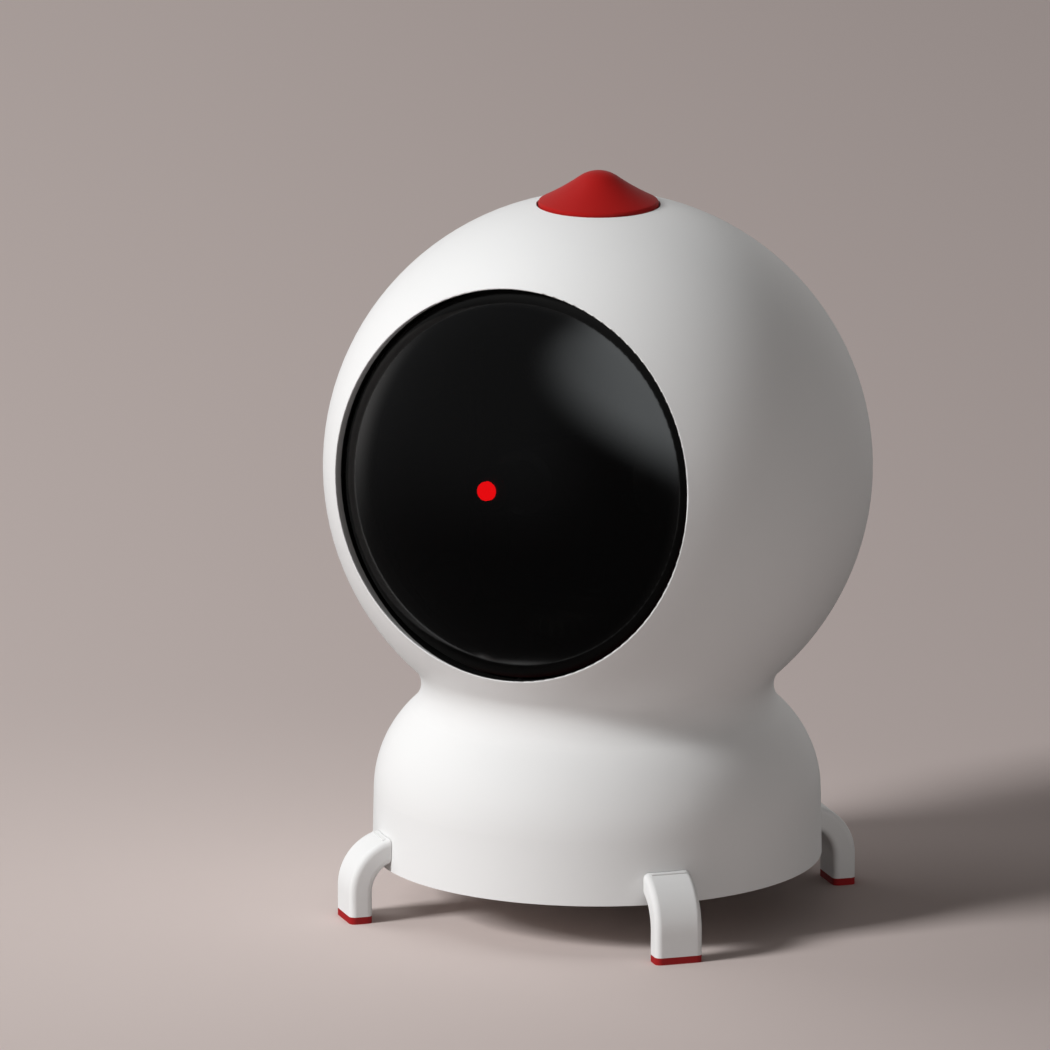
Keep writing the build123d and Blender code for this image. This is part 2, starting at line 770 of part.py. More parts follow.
def switch_board():
    """Small circuit board on the frame's upper arm, under the button."""
    half = switch_board_length / 2
    board = block((-half, half), (-switch_board_width / 2, switch_board_width / 2), (board_low, switch_low))
    for x in (-switch_hole_reach, switch_hole_reach):
        board -= rod("z", screw_small + screw_clearance, 0, 60, (x, 0, 0))
    return at_globe(board)


def switch_screws():
    """Two screws that hold the switch board."""
    spots = (-switch_hole_reach, switch_hole_reach)
    return [at_globe(Pos(x, 0, switch_low) * screw(screw_small, 2.8)) for x in spots]


def tact_switch():
    """Square tact switch with a round plunger."""
    half = switch_size / 2
    body = block((-half, half), (-half, half), (switch_low, switch_low + switch_body))
    return at_globe(body + rod("z", switch_plunger_radius, switch_low, switch_top))


# ---------------------------------------------------------------- gears
def gear_face(teeth, first):
    """Involute spur gear outline about the origin, with one tooth centred on the direction first."""
    pitch = module * teeth / 2
    base = pitch * math.cos(math.radians(pressure_angle))
    tip = pitch + addendum * module
    root = pitch - dedendum * module
    start = max(base, root)
    half_pitch = (math.pi * module / 2 - backlash) / (2 * pitch)

    def involute(turn):
        return math.tan(turn) - turn

    def half_tooth(radius):
        lean = math.acos(min(1.0, base / radius))
        return half_pitch + involute(math.radians(pressure_angle)) - involute(lean)

    def at(radius, turn):
        return radius * math.cos(turn), radius * math.sin(turn)

    edges = []
    step = 2 * math.pi / teeth
    middle = (start + tip) / 2
    for tooth in range(teeth):
        centre = math.radians(first) + tooth * step
        rise = [at(r, centre - half_tooth(r)) for r in (start, middle, tip)]
        fall = [at(r, centre + half_tooth(r)) for r in (tip, middle, start)]
        foot_in = at(root, centre - half_tooth(start))
        foot_out = at(root, centre + half_tooth(start))
        next_foot = at(root, centre + step - half_tooth(start))
        if start > root:
            edges += [Line(foot_in, rise[0]), Line(fall[2], foot_out)]
        edges.append(Polyline(*rise, *fall))
        edges.append(Line(foot_out, next_foot))
    return make_face(edges)


# ---------------------------------------------------------------- gimbal frame and pan drive
lower_bush_top = arm_bottom + frame_thickness + bush_flange
yoke_hub_low = lower_bush_top + axial_gap
upper_bush_low = arm_top - frame_thickness - bush_flange
yoke_hub_top = upper_bush_low - axial_gap
slot_half_angle = pan_range + math.degrees(math.asin((stop_radius + stop_gap) / stop_reach))


def gimbal_frame():
    """C-shaped frame: back plate, two arms for the pan pivots, pillars, standoffs and the pan stop."""
    front = frame_back - frame_thickness
    outline = Rectangle(2 * frame_half_width, arm_top - arm_bottom)
    outline = Pos(0, (arm_top + arm_bottom) / 2) * outline
    for z in (-ear_z, ear_z):
        outline += Pos(0, z) * SlotOverall(2 * (ear_x + ear_radius), 2 * ear_radius)
    outline -= RectangleRounded(frame_window, 2 * ear_z + 4, 3)
    plate = extrude(Plane((0, front, 0), x_dir=(1, 0, 0), z_dir=(0, 1, 0)) * outline, frame_thickness)
    lower = block((-frame_half_width, frame_half_width), (gear_distance - 6, front + 1), (0, frame_thickness))
    lower += rod("z", hub_radius, 0, frame_thickness)
    lower += block((-hub_radius, hub_radius), (0, gear_distance), (0, frame_thickness))
    upper = block((-hub_radius + 2, hub_radius - 2), (0, front + 1), (0, frame_thickness))
    upper += rod("z", hub_radius - 2, 0, frame_thickness)
    bridge = SlotOverall(2 * (pillar_reach + pillar_radius) + 1, 2 * pillar_radius + 1)
    upper += extrude(bridge, frame_thickness)
    frame = plate + Pos(0, 0, arm_bottom) * lower + Pos(0, 0, arm_top - frame_thickness) * upper
    for x in (-frame_half_width + 1, frame_half_width - 3):
        corner = [(front, arm_bottom + 2), (front - 5, arm_bottom + 2), (front, arm_bottom + 9)]
        rib = make_face(Polyline(*corner, close=True))
        frame += extrude(Plane((x, 0, 0), x_dir=(0, 1, 0), z_dir=(1, 0, 0)) * rib, 2)
    for x in (-pillar_reach, pillar_reach):
        frame += rod("z", pillar_radius, arm_top - 1, guide_low, (x, 0, 0))
        frame -= rod("z", screw_small + fit_gap, guide_low - 5, guide_low + 1, (x, 0, 0))
    for x in (-switch_hole_reach, switch_hole_reach):
        frame += rod("z", 1.7, arm_top - 1, board_low, (x, 0, 0))
        frame -= rod("z", screw_small + fit_gap, board_low - 2, board_low + 1, (x, 0, 0))
    frame += rod("z", stop_radius, arm_bottom + 1, pan_gear_low + 2, (0, -stop_reach, 0))
    frame -= rod("z", bush_radius + fit_gap, arm_bottom - 1, arm_bottom + frame_thickness + 1)
    frame -= rod("z", bush_radius + fit_gap, arm_top - frame_thickness - 1, arm_top + 0.8)
    seat = rod("z", pan_nose_radius + fit_gap, -60, arm_bottom + frame_thickness + 1)
    frame -= Pos(0, gear_distance, 0) * seat
    for x in (-pan_ear_reach, pan_ear_reach):
        frame -= rod("z", screw_small + fit_gap, arm_bottom - 1, -yoke_half_height, (x, gear_distance, 0))
    for x in (-ear_x, ear_x):
        for z in (-ear_z, ear_z):
            frame -= rod("y", screw_large + screw_clearance, front - 1, frame_back + 1, (x, 0, z))
    return at_globe(frame)


def frame_screws():
    """Four screws from the front, through the frame's ears into the rear shell's bosses."""
    return [
        at_globe(Pos(x, frame_back - frame_thickness, z) * Rot(X=90) * screw(screw_large, frame_screw_length))
        for x in (-ear_x, ear_x)
        for z in (-ear_z, ear_z)
    ]


def pan_bushes():
    """Two flanged bushes in the frame's arms."""
    lower = rod("z", bush_radius, arm_bottom, arm_bottom + frame_thickness)
    lower += rod("z", bush_flange_radius, arm_bottom + frame_thickness, lower_bush_top)
    upper = rod("z", bush_radius, arm_top - frame_thickness, arm_top)
    upper += rod("z", bush_flange_radius, upper_bush_low, arm_top - frame_thickness)
    bore = rod("z", pin_radius + running_gap, -60, 60)
    return [at_globe(lower - bore), at_globe(upper - bore)]


def motor(can_radius, length, ear_reach, nose_radius, shaft_radius):
    """Small can motor hanging below z = 0 by its ears, with a nose above and a bore for its shaft."""
    can = rod("z", can_radius, -length, 0)
    can += rod("z", can_radius - 1.2, -length - 0.6, -length)
    ears = SlotOverall(2 * (ear_reach + motor_ear_radius), 2 * motor_ear_radius)
    can += Pos(0, 0, -motor_flange) * extrude(ears, motor_flange)
    can += rod("z", nose_radius, 0, motor_nose)
    for x in (-ear_reach, ear_reach):
        can -= rod("z", screw_small + screw_clearance, -motor_flange - 1, 1, (x, 0, 0))
    return can - rod("z", shaft_radius + running_gap, -length / 2, motor_nose + 1)


def pan_motor():
    """Motor under the frame's lower arm, behind the pan axis."""
    can = motor(pan_can_radius, pan_can_length, pan_ear_reach, pan_nose_radius, pan_shaft_radius)
    return at_globe(Pos(0, gear_distance, arm_bottom) * can)


def pan_motor_screws():
    """Two screws up through the pan motor's ears."""
    low = arm_bottom - motor_flange
    return [
        at_globe(Pos(x, gear_distance, low) * Rot(X=180) * screw(screw_small, frame_thickness))
        for x in (-pan_ear_reach, pan_ear_reach)
    ]


def pan_shaft():
    """Steel shaft of the pan motor."""
    low = arm_bottom - pan_can_length / 2 + 0.3
    return at_globe(rod("z", pan_shaft_radius, low, pan_gear_top + 0.3, (0, gear_distance, 0)))


def pan_pinion():
    """Twelve-tooth pinion with a hub below."""
    # A tooth gap faces the yoke's gear, whose tooth points straight back.
    teeth = extrude(gear_face(pinion_teeth, -90 + 180 / pinion_teeth), gear_thickness + 0.4)
    pinion = Pos(0, 0, pan_gear_low - 0.2) * teeth
    pinion += rod("z", 1.9, arm_bottom + frame_thickness + 0.4, pan_gear_low)
    pinion -= rod("z", pan_shaft_radius + fit_gap, -60, 60)
    return at_globe(Pos(0, gear_distance, 0) * pinion)


# ---------------------------------------------------------------- yoke
def pan_gear():
    """Gear under the yoke, with dowel holes and the arc slot for the pan stop."""
    gear = Pos(0, 0, pan_gear_low) * extrude(gear_face(gear_teeth, 90), gear_thickness)
    gear -= rod("z", yoke_hub_radius + fit_gap, -60, 60)
    for x in (-dowel_reach, dowel_reach):
        gear -= rod("z", dowel_radius + fit_gap, -60, 60, (x, 0, 0))
    middle = CenterArc((0, 0), stop_reach, -90 - slot_half_angle, 2 * slot_half_angle)
    slot = extrude(SlotArc(middle, 2 * (stop_radius + stop_gap)), gear_thickness + 2)
    return at_globe(gear - Pos(0, 0, pan_gear_low - 1) * slot)


def pan_yoke():
    """Moulded ring that turns about the pan axis, with the tilt pivots and the tilt motor's cheek."""
    inner_x = yoke_half_width - yoke_bar
    inner_z = yoke_half_height - yoke_bar
    outline = RectangleRounded(2 * yoke_half_width, 2 * yoke_half_height, yoke_corner)
    outline -= RectangleRounded(2 * inner_x, 2 * inner_z, yoke_corner - yoke_bar)
    yoke = extrude(Plane.XZ * outline, yoke_depth / 2, both=True)
    boss = rod("x", side_boss_radius, inner_x - 0.6, yoke_half_width + side_boss)
    yoke += boss
    yoke += mirror(boss, Plane.YZ)
    yoke -= rod("x", tilt_pin_radius + fit_gap, -60, 60)
    yoke += rod("z", yoke_hub_radius, yoke_hub_low, -yoke_half_height + 1)
    yoke += rod("z", 3.4, yoke_half_height - 1, yoke_hub_top)
    yoke -= rod("z", pin_radius + fit_gap, -60, -inner_z + 1) + rod("z", pin_radius + fit_gap, inner_z - 1, 60)
    for x in (-dowel_reach, dowel_reach):
        yoke += rod("z", dowel_radius, pan_gear_low + 0.5, -yoke_half_height + 0.5, (x, 0, 0))
    half = tilt_ear_reach + motor_ear_radius
    cheek_low = gear_distance - tilt_can_radius - 0.6
    cheek = block((cheek_near, cheek_near + cheek_thickness), (-half, half), (cheek_low, inner_z + 0.5))
    cheek -= rod("x", tilt_nose_radius + fit_gap, 0, 20, (0, 0, gear_distance))
    for y in (-tilt_ear_reach, tilt_ear_reach):
        cheek -= rod("x", screw_small + fit_gap, 0, 20, (0, y, gear_distance))
    return at_globe(yoke + cheek)


def pan_pins():
    """Two steel pins pressed in the yoke, turning in the frame's bushes."""
    lower = rod("z", pin_radius, arm_bottom - 0.4, -yoke_half_height + yoke_bar)
    upper = rod("z", pin_radius, yoke_half_height - yoke_bar, arm_top + 0.4)
    return [at_globe(lower), at_globe(upper)]


def tilt_pins():
    """Two steel pins in the yoke's sides that carry the cradle."""
    pin = rod("x", tilt_pin_radius, cradle_half_width - tilt_pin_reach, yoke_half_width + side_boss)
    return [at_globe(pin), at_globe(mirror(pin, Plane.YZ))]


def tilt_motor():
    """Motor inside the yoke, above the cradle, with its shaft towards +X."""
    can = motor(tilt_can_radius, tilt_can_length, tilt_ear_reach, tilt_nose_radius, tilt_shaft_radius)
    return at_globe(Pos(cheek_near, 0, gear_distance) * Rot(Y=90) * Rot(Z=90) * can)


def tilt_motor_screws():
    """Two screws through the tilt motor's ears into the cheek."""
    head_seat = cheek_near - motor_flange
    length = cheek_thickness + 0.6
    return [
        at_globe(Pos(head_seat, y, gear_distance) * Rot(Y=-90) * screw(screw_small, length))
        for y in (-tilt_ear_reach, tilt_ear_reach)
    ]


def tilt_shaft():
    """Steel shaft of the tilt motor."""
    low = cheek_near - tilt_can_length / 2 + 0.3
    high = sector_near + gear_thickness + 0.6
    return at_globe(rod("x", tilt_shaft_radius, low, high, (0, 0, gear_distance)))


def tilt_pinion():
    """Twelve-tooth pinion on the tilt motor's shaft."""
    # Plane whose normal is +X and whose x direction is +Y, so that directions run from +Y up to +Z.
    teeth = extrude(gear_face(pinion_teeth, -90 + 180 / pinion_teeth), gear_thickness + 0.4)
    pinion = Plane((sector_near - 0.2, 0, 0), x_dir=(0, 1, 0), z_dir=(1, 0, 0)) * teeth
    pinion -= rod("x", tilt_shaft_radius + fit_gap, 0, 60)
    return at_globe(Pos(0, 0, gear_distance) * pinion)


# ---------------------------------------------------------------- laser head
def laser_cradle():
    """Cross hub on the tilt pins, with a sleeve for the laser and two gussets."""
    hub = rod("x", cradle_hub_radius, -cradle_half_width, cradle_half_width)
    sleeve = rod("y", sleeve_radius, -sleeve_front, 0)
    near, far = cradle_hub_radius - 0.6, sleeve_front - 8
    spread = sector_near - 1.2
    corners = [(-spread, -near), (spread, -near), (sleeve_radius - 1, -far), (-sleeve_radius + 1, -far)]
    web = extrude(make_face(Polyline(*corners, close=True)), gusset_thickness / 2, both=True)
    aimed = sleeve + web
    aimed -= rod("y", barrel_radius + fit_gap, -sleeve_front - 1, -barrel_rear + driver_length)
    cradle = hub + Rot(X=-window_tilt) * aimed
    bore = rod("x", tilt_pin_radius + running_gap, cradle_half_width - tilt_pin_reach - 0.5, 60)
    cradle -= bore + mirror(bore, Plane.YZ)
    cradle -= block((sector_near - 0.2, cradle_half_width + 1), (-6, 6), (sector_flat, 6))
    return at_globe(cradle)


def tilt_sector():
    """Toothed sector on the cradle's flatted hub, reaching up to the tilt pinion."""
    side = Plane((sector_near, 0, 0), x_dir=(0, 1, 0), z_dir=(1, 0, 0))
    far = 2 * gear_pitch
    ends = [math.radians(90 + turn) for turn in (-sector_behind, sector_forward)]
    back, front = [(far * math.cos(turn), far * math.sin(turn)) for turn in ends]
    wedge = make_face(Polyline((0, 0), back, (0, far), front, close=True))
    toothed = extrude(side * gear_face(gear_teeth, 90), gear_thickness)
    sector = toothed & extrude(side * wedge, gear_thickness)
    sector += rod("x", sector_hub_radius, sector_near, sector_near + gear_thickness)
    bore = rod("x", cradle_hub_radius + fit_gap, sector_near - 1, sector_near + gear_thickness + 1)
    bore &= block((0, 30), (-6, 6), (-6, sector_flat + fit_gap))
    return at_globe(sector - bore)


def laser_barrel():
    """Brass barrel with a narrow aperture at its front."""
    barrel = rod("y", barrel_radius, -barrel_front, -barrel_rear)
    barrel -= rod("y", barrel_radius - 0.8, -barrel_front + 2.2, -barrel_rear + 1)
    return facing(barrel - rod("y", lens_radius + lens_gap, -barrel_front - 1, -barrel_rear))


def laser_driver():
    """Diode and its little driver board in the barrel's tail."""
    board = block((-2.4, 2.4), (-barrel_rear - 3.0, -barrel_rear + driver_length - 0.6), (-0.4, 0.4))
    diode = rod("y", 1.6, -barrel_rear - 5.5, -barrel_rear - 2.5)
    return facing(board + diode)


def laser_lens():
    """Lens in the barrel's aperture, the spot that glows."""
    return facing(rod("y", lens_radius, -lens_front, -barrel_front + 2.0))


# ---------------------------------------------------------------- write every node
save("front_shell", front_shell())
save("rear_shell", rear_shell())
save("window", window())
save("window_ring", window_ring())
save("window_screws", *window_screws())
save("shell_screws", *shell_screws())
for place, angle in leg_angles.items():
    save(f"leg_{place}", leg(angle))
    save(f"foot_{place}", foot(angle))
save("bottom_plate", bottom_plate())
save("base_screws", *base_screws())
save("battery", battery())
save("battery_lead", battery_lead())
save("main_board", main_board())
save("board_screws", *board_screws())
save("board_chips", *board_chips())
save("board_connectors", *board_connectors())
save("usb_socket", usb_socket())
save("push_button", push_button())
save("button_guide", button_guide())
save("guide_screws", *guide_screws())
save("button_spring", button_spring())
save("switch_board", switch_board())
save("switch_screws", *switch_screws())
save("tact_switch", tact_switch())
save("gimbal_frame", gimbal_frame())
save("frame_screws", *frame_screws())
save("pan_bushes", *pan_bushes())
save("pan_motor", pan_motor())
save("pan_motor_screws", *pan_motor_screws())
save("pan_shaft", pan_shaft())
save("pan_pinion", pan_pinion())
save("pan_gear", pan_gear())
save("pan_yoke", pan_yoke())
save("pan_pins", *pan_pins())
save("tilt_pins", *tilt_pins())
save("tilt_motor", tilt_motor())
save("tilt_motor_screws", *tilt_motor_screws())
save("tilt_shaft", tilt_shaft())
save("tilt_pinion", tilt_pinion())
save("laser_cradle", laser_cradle())
save("tilt_sector", tilt_sector())
save("laser_barrel", laser_barrel())
save("laser_driver", laser_driver())
save("laser_lens", laser_lens())
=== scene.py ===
import math

import bmesh
import bpy
from mathutils import Matrix, Vector

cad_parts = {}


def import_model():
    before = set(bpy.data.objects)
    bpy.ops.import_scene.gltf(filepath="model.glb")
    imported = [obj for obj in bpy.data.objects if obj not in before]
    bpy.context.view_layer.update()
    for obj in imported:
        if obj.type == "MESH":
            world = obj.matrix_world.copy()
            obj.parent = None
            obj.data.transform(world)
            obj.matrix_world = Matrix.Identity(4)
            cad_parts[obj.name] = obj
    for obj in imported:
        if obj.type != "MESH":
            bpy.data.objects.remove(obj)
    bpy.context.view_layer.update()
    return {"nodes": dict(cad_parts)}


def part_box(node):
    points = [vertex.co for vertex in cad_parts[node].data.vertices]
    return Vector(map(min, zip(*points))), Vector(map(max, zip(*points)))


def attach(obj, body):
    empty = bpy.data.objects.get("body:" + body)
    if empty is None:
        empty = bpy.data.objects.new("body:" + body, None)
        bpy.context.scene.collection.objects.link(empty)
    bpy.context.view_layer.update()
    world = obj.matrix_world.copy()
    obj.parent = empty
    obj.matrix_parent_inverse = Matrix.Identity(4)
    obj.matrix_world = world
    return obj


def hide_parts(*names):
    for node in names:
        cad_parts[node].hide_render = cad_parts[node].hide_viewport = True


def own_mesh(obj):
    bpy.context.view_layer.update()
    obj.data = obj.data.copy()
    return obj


# A toy that moves a red laser spot about for a cat: a white globe on a drum-shaped base, with a
# smoked window at the front and a red button on top. The frame brings the pieces of the CAD model.
# This script gives them their finishes, makes the real screws, the button's spring and the socket's
# contacts, and sets up the camera, the lamps and the floor.
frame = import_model()

MM = 0.001


# ---------------------------------------------------------------- node trees as expressions
class Value:
    """One output of a node tree. Arithmetic on it adds Math nodes."""

    def __init__(self, sheet, socket):
        self.sheet = sheet
        self.socket = socket

    def math(self, operation, *terms):
        inputs = dict(enumerate((self, *terms)))
        return self.sheet.node("ShaderNodeMath", {"operation": operation}, inputs)

    def __add__(self, other):
        return self.math("ADD", other)

    __radd__ = __add__

    def __mul__(self, other):
        return self.math("MULTIPLY", other)

    __rmul__ = __mul__

    def __sub__(self, other):
        return self.math("SUBTRACT", other)

    def __rsub__(self, other):
        return self * -1.0 + other

    def __pow__(self, power):
        return self.math("POWER", power)

    def above(self, low, high):
        """0 below low, 1 above high, smooth between."""
        settings = {"interpolation_type": "SMOOTHSTEP"}
        inputs = {"Value": self, "From Min": low, "From Max": high}
        return self.sheet.node("ShaderNodeMapRange", settings, inputs)


class Sheet:
    """A shader tree that is written as expressions."""

    def __init__(self, owner):
        owner.use_nodes = True
        self.tree = owner.node_tree
        self.tree.nodes.clear()

    def node(self, kind, settings=None, inputs=None, out=0):
        """Add a node: its settings first, then the values or links of its sockets."""
        made = self.tree.nodes.new(kind)
        for name, value in (settings or {}).items():
            setattr(made, name, value)
        for name, value in (inputs or {}).items():
            for one in value if isinstance(value, list) else [value]:
                if isinstance(one, Value):
                    self.tree.links.new(one.socket, made.inputs[name])
                else:
                    made.inputs[name].default_value = one
        return Value(self, made.outputs[out])

    def place(self):
        """Where a point is on the object, in metres."""
        return self.node("ShaderNodeTexCoord", out="Object")

    def parts_of(self, vector):
        """The x, y and z of a vector."""
        split = self.node("ShaderNodeSeparateXYZ", None, {0: vector})
        return [Value(self, split.socket.node.outputs[i]) for i in range(3)]

    def noise(self, scale, detail=2.0, roughness=0.5, stretch=None):
        """Noise from 0 to 1 at so many cells to the metre, stretched along an axis if asked."""
        where = self.place()
        if stretch:
            where = self.node("ShaderNodeVectorMath", {"operation": "MULTIPLY"}, {0: where, 1: stretch})
        inputs = {"Vector": where, "Scale": scale, "Detail": detail, "Roughness": roughness}
        return self.node("ShaderNodeTexNoise", None, inputs)

    def mix(self, share, first, second):
        """A colour between two others."""
        return self.node("ShaderNodeMix", {"data_type": "RGBA"}, {0: share, 6: first, 7: second}, out=2)

    def bump(self, height, depth):
        """Surface relief: height from 0 to 1 stands for depth in metres."""
        return self.node("ShaderNodeBump", None, {"Height": height, "Strength": 1.0, "Distance": depth})

    def principled(self, **inputs):
        """The main surface shader. An underscore in a name stands for a space."""
        spaced = {name.replace("_", " "): value for name, value in inputs.items()}
        return self.node("ShaderNodeBsdfPrincipled", None, spaced)

    def end(self, surface, kind="ShaderNodeOutputMaterial"):
        """Join the finished surface to the tree's output."""
        output = self.tree.nodes.new(kind)
        self.tree.links.new(surface.socket, output.inputs["Surface"])


def rgba(colour):
    """The colour, opaque."""
    return (*colour, 1.0)


def scaled(colour, share):
    """The colour at a share of its brightness."""
    return tuple(part * share for part in colour)


def finish(name):
    """A new material and the sheet that its nodes are written on."""
    material = bpy.data.materials.new(name)
    return material, Sheet(material)


# ---------------------------------------------------------------- the window and its opening
# A pair holds the two places between which something fades in or out. Depth runs forward along the
# window's axis from the globe's centre, reach runs outwards from that axis, and across runs to +X.
GLOBE_CENTRE_Z = 65.2 * MM
WINDOW_TILT = math.radians(6.0)
DOME_FORWARD = 1.738 * MM  # of the dome's centre ahead of the globe's
DOME_SKIN = (36.0 * MM, 36.4 * MM)  # between the dome's inner and outer faces
FLANGE = (26.4 * MM, 26.5 * MM)  # reach at which the dome's inner face ends
DENSE_SMOKE = (20.0 * MM, 25.0 * MM)
WORN_RIM = (23.0 * MM, 26.5 * MM)
PAINTED_EDGE_HIGHLIGHT = (25.6 * MM, 28.6 * MM)
PAINTED_RED_LIGHT_RIM = (27.3 * MM, 28.0 * MM)
PAINTED_RED_LIGHT_SIDE = (16.0 * MM, 34.0 * MM)  # across less height: the painted red light is put at the lower right only
# Painted shade: a black band on the wall of the opening stands for the shadow in the gap round the
# dome. It stops further back on the left, so more of that wall shows pale there.
GAP_SHADE_BACK = (19.0 * MM, 20.0 * MM)
GAP_SHADE_FRONT = (26.2 * MM, 26.4 * MM)
GAP_SHADE_RISE = 1.5 * MM  # how much further forward the painted shade comes, apart from on the left
GAP_SHADE_LEFT = (-24.0 * MM, -6.0 * MM)
OPENING_LIP = (28.5 * MM, 28.58 * MM)
GAP_SHADE_BLACK = (0.01, 0.01, 0.01)


def in_window(sheet):
    """Depth along the window's axis, reach from that axis, and the place across and up, of a point."""
    centred = sheet.node(
        "ShaderNodeMapping",
        {"vector_type": "TEXTURE"},
        {"Vector": sheet.place(), "Location": (0, 0, GLOBE_CENTRE_Z), "Rotation": (-WINDOW_TILT, 0, 0)},
    )
    x, y, z = sheet.parts_of(centred)
    return y * -1.0, (x * x + z * z) ** 0.5, x, z


def painted_gap_shade(sheet, tint):
    """A tint with painted shade over it: a black band on the wall of the window's opening, for the
    shadow in the gap round the dome.
    """
    depth, reach, across, _ = in_window(sheet)
    behind_front = depth - GAP_SHADE_RISE * across.above(*GAP_SHADE_LEFT)
    band = depth.above(*GAP_SHADE_BACK) * (1 - behind_front.above(*GAP_SHADE_FRONT))
    return sheet.mix(band * (1 - reach.above(*OPENING_LIP)), tint, rgba(GAP_SHADE_BLACK))


def smoked_acrylic():
    """Polished smoked window: nearly black, with a paler rim as a painted highlight and painted red
    light on its rim at the lower right.

    The smoke is in its outer face, which alone is drawn; the inner face of the dome is clear.
    """
    black, pale, red = (0.0012, 0.0011, 0.0012), (0.018, 0.018, 0.0175), (0.022, 0.004, 0.005)
    material, sheet = finish("smoked_acrylic")
    depth, reach, across, height = in_window(sheet)
    ahead = depth - DOME_FORWARD
    outer_face = ((ahead * ahead + reach * reach) ** 0.5).above(*DOME_SKIN)
    clear = (1 - outer_face) * (1 - reach.above(*FLANGE))
    smoke = 0.95 + 0.05 * reach.above(*DENSE_SMOKE)
    # Painted highlight: the tint turns paler towards the dome's rim, so that its edge glows.
    tint = sheet.mix(reach.above(*PAINTED_EDGE_HIGHLIGHT), rgba(black), rgba(pale))
    # Painted red light: a dark red on the rim, at the lower right only.
    painted_red_light = reach.above(*PAINTED_RED_LIGHT_RIM) * (across - height).above(*PAINTED_RED_LIGHT_SIDE)
    haze = sheet.noise(160.0)
    surface = sheet.principled(
        Base_Color=sheet.mix(painted_red_light, tint, rgba(red)),
        Roughness=0.1 + 0.03 * (haze - 0.5) + 0.05 * reach.above(*WORN_RIM),
        Alpha=smoke * (1 - clear),
        IOR=1.49,
    )
    sheet.end(surface)
    return material


# ---------------------------------------------------------------- other finishes
def moulded(name, colour, roughness, grain=2600.0, relief=4e-6, shade=0.04, shine=0.5, paint=None):
    """Moulded plastic: fine spark-eroded grain, faint flow marks and a slightly uneven gloss."""
    uneven_gloss = 0.06
    material, sheet = finish(name)
    fine = sheet.noise(grain, 3.0, 0.6)
    flow = sheet.noise(38.0, 2.0, 0.45, (1.0, 1.0, 2.2))
    tint = sheet.mix(flow.above(0.35, 0.75), rgba(colour), rgba(scaled(colour, 1.0 - shade)))
    if paint:
        tint = paint(sheet, tint)
    surface = sheet.principled(
        Base_Color=tint,
        Roughness=roughness + uneven_gloss * (flow - 0.5) + 0.5 * uneven_gloss * (fine - 0.5),
        Normal=sheet.bump(fine, relief),
        Specular_IOR_Level=shine,
    )
    sheet.end(surface)
    return material


def metal(name, colour, roughness, grain_axis, relief=1.5e-6):
    """Turned, drawn or plated metal, with its grain running along one axis."""
    material, sheet = finish(name)
    along, over = 0.04, 1.0
    stretch = tuple(along if axis == grain_axis else over for axis in "xyz")
    lines = sheet.noise(9000.0, 2.0, 0.5, stretch)
    dull = sheet.noise(420.0, 3.0, 0.6)
    surface = sheet.principled(
        Base_Color=sheet.mix(dull.above(0.45, 0.8), rgba(colour), rgba(scaled(colour, 0.82))),
        Metallic=1.0,
        Roughness=roughness + 0.16 * (lines - 0.5) + 0.1 * (dull - 0.5),
        Normal=sheet.bump(lines, relief),
    )
    sheet.end(surface)
    return material


def glowing_lens():
    """The laser's lens, lit from behind."""
    material, sheet = finish("glowing_lens")
    grain = sheet.noise(2000.0)
    surface = sheet.principled(
        Base_Color=(0.4, 0.0, 0.005, 1),
        Roughness=0.2 + 0.1 * (grain - 0.5),
        Emission_Color=(1.0, 0.0, 0.002, 1),
        Emission_Strength=15.5,
    )
    sheet.end(surface)
    return material


def circuit_board():
    """Green solder mask with the faint relief of copper tracks under it."""
    material, sheet = finish("solder_mask")
    cells = {"feature": "F1", "distance": "MANHATTAN"}
    tracks = sheet.node("ShaderNodeTexVoronoi", cells, {"Vector": sheet.place(), "Scale": 420.0})
    copper = tracks.above(0.42, 0.5)
    surface = sheet.principled(
        Base_Color=sheet.mix(copper, (0.018, 0.13, 0.05, 1), (0.03, 0.2, 0.08, 1)),
        Roughness=0.32 + 0.1 * copper,
        Normal=sheet.bump(copper, 20e-6),
    )
    sheet.end(surface)
    return material


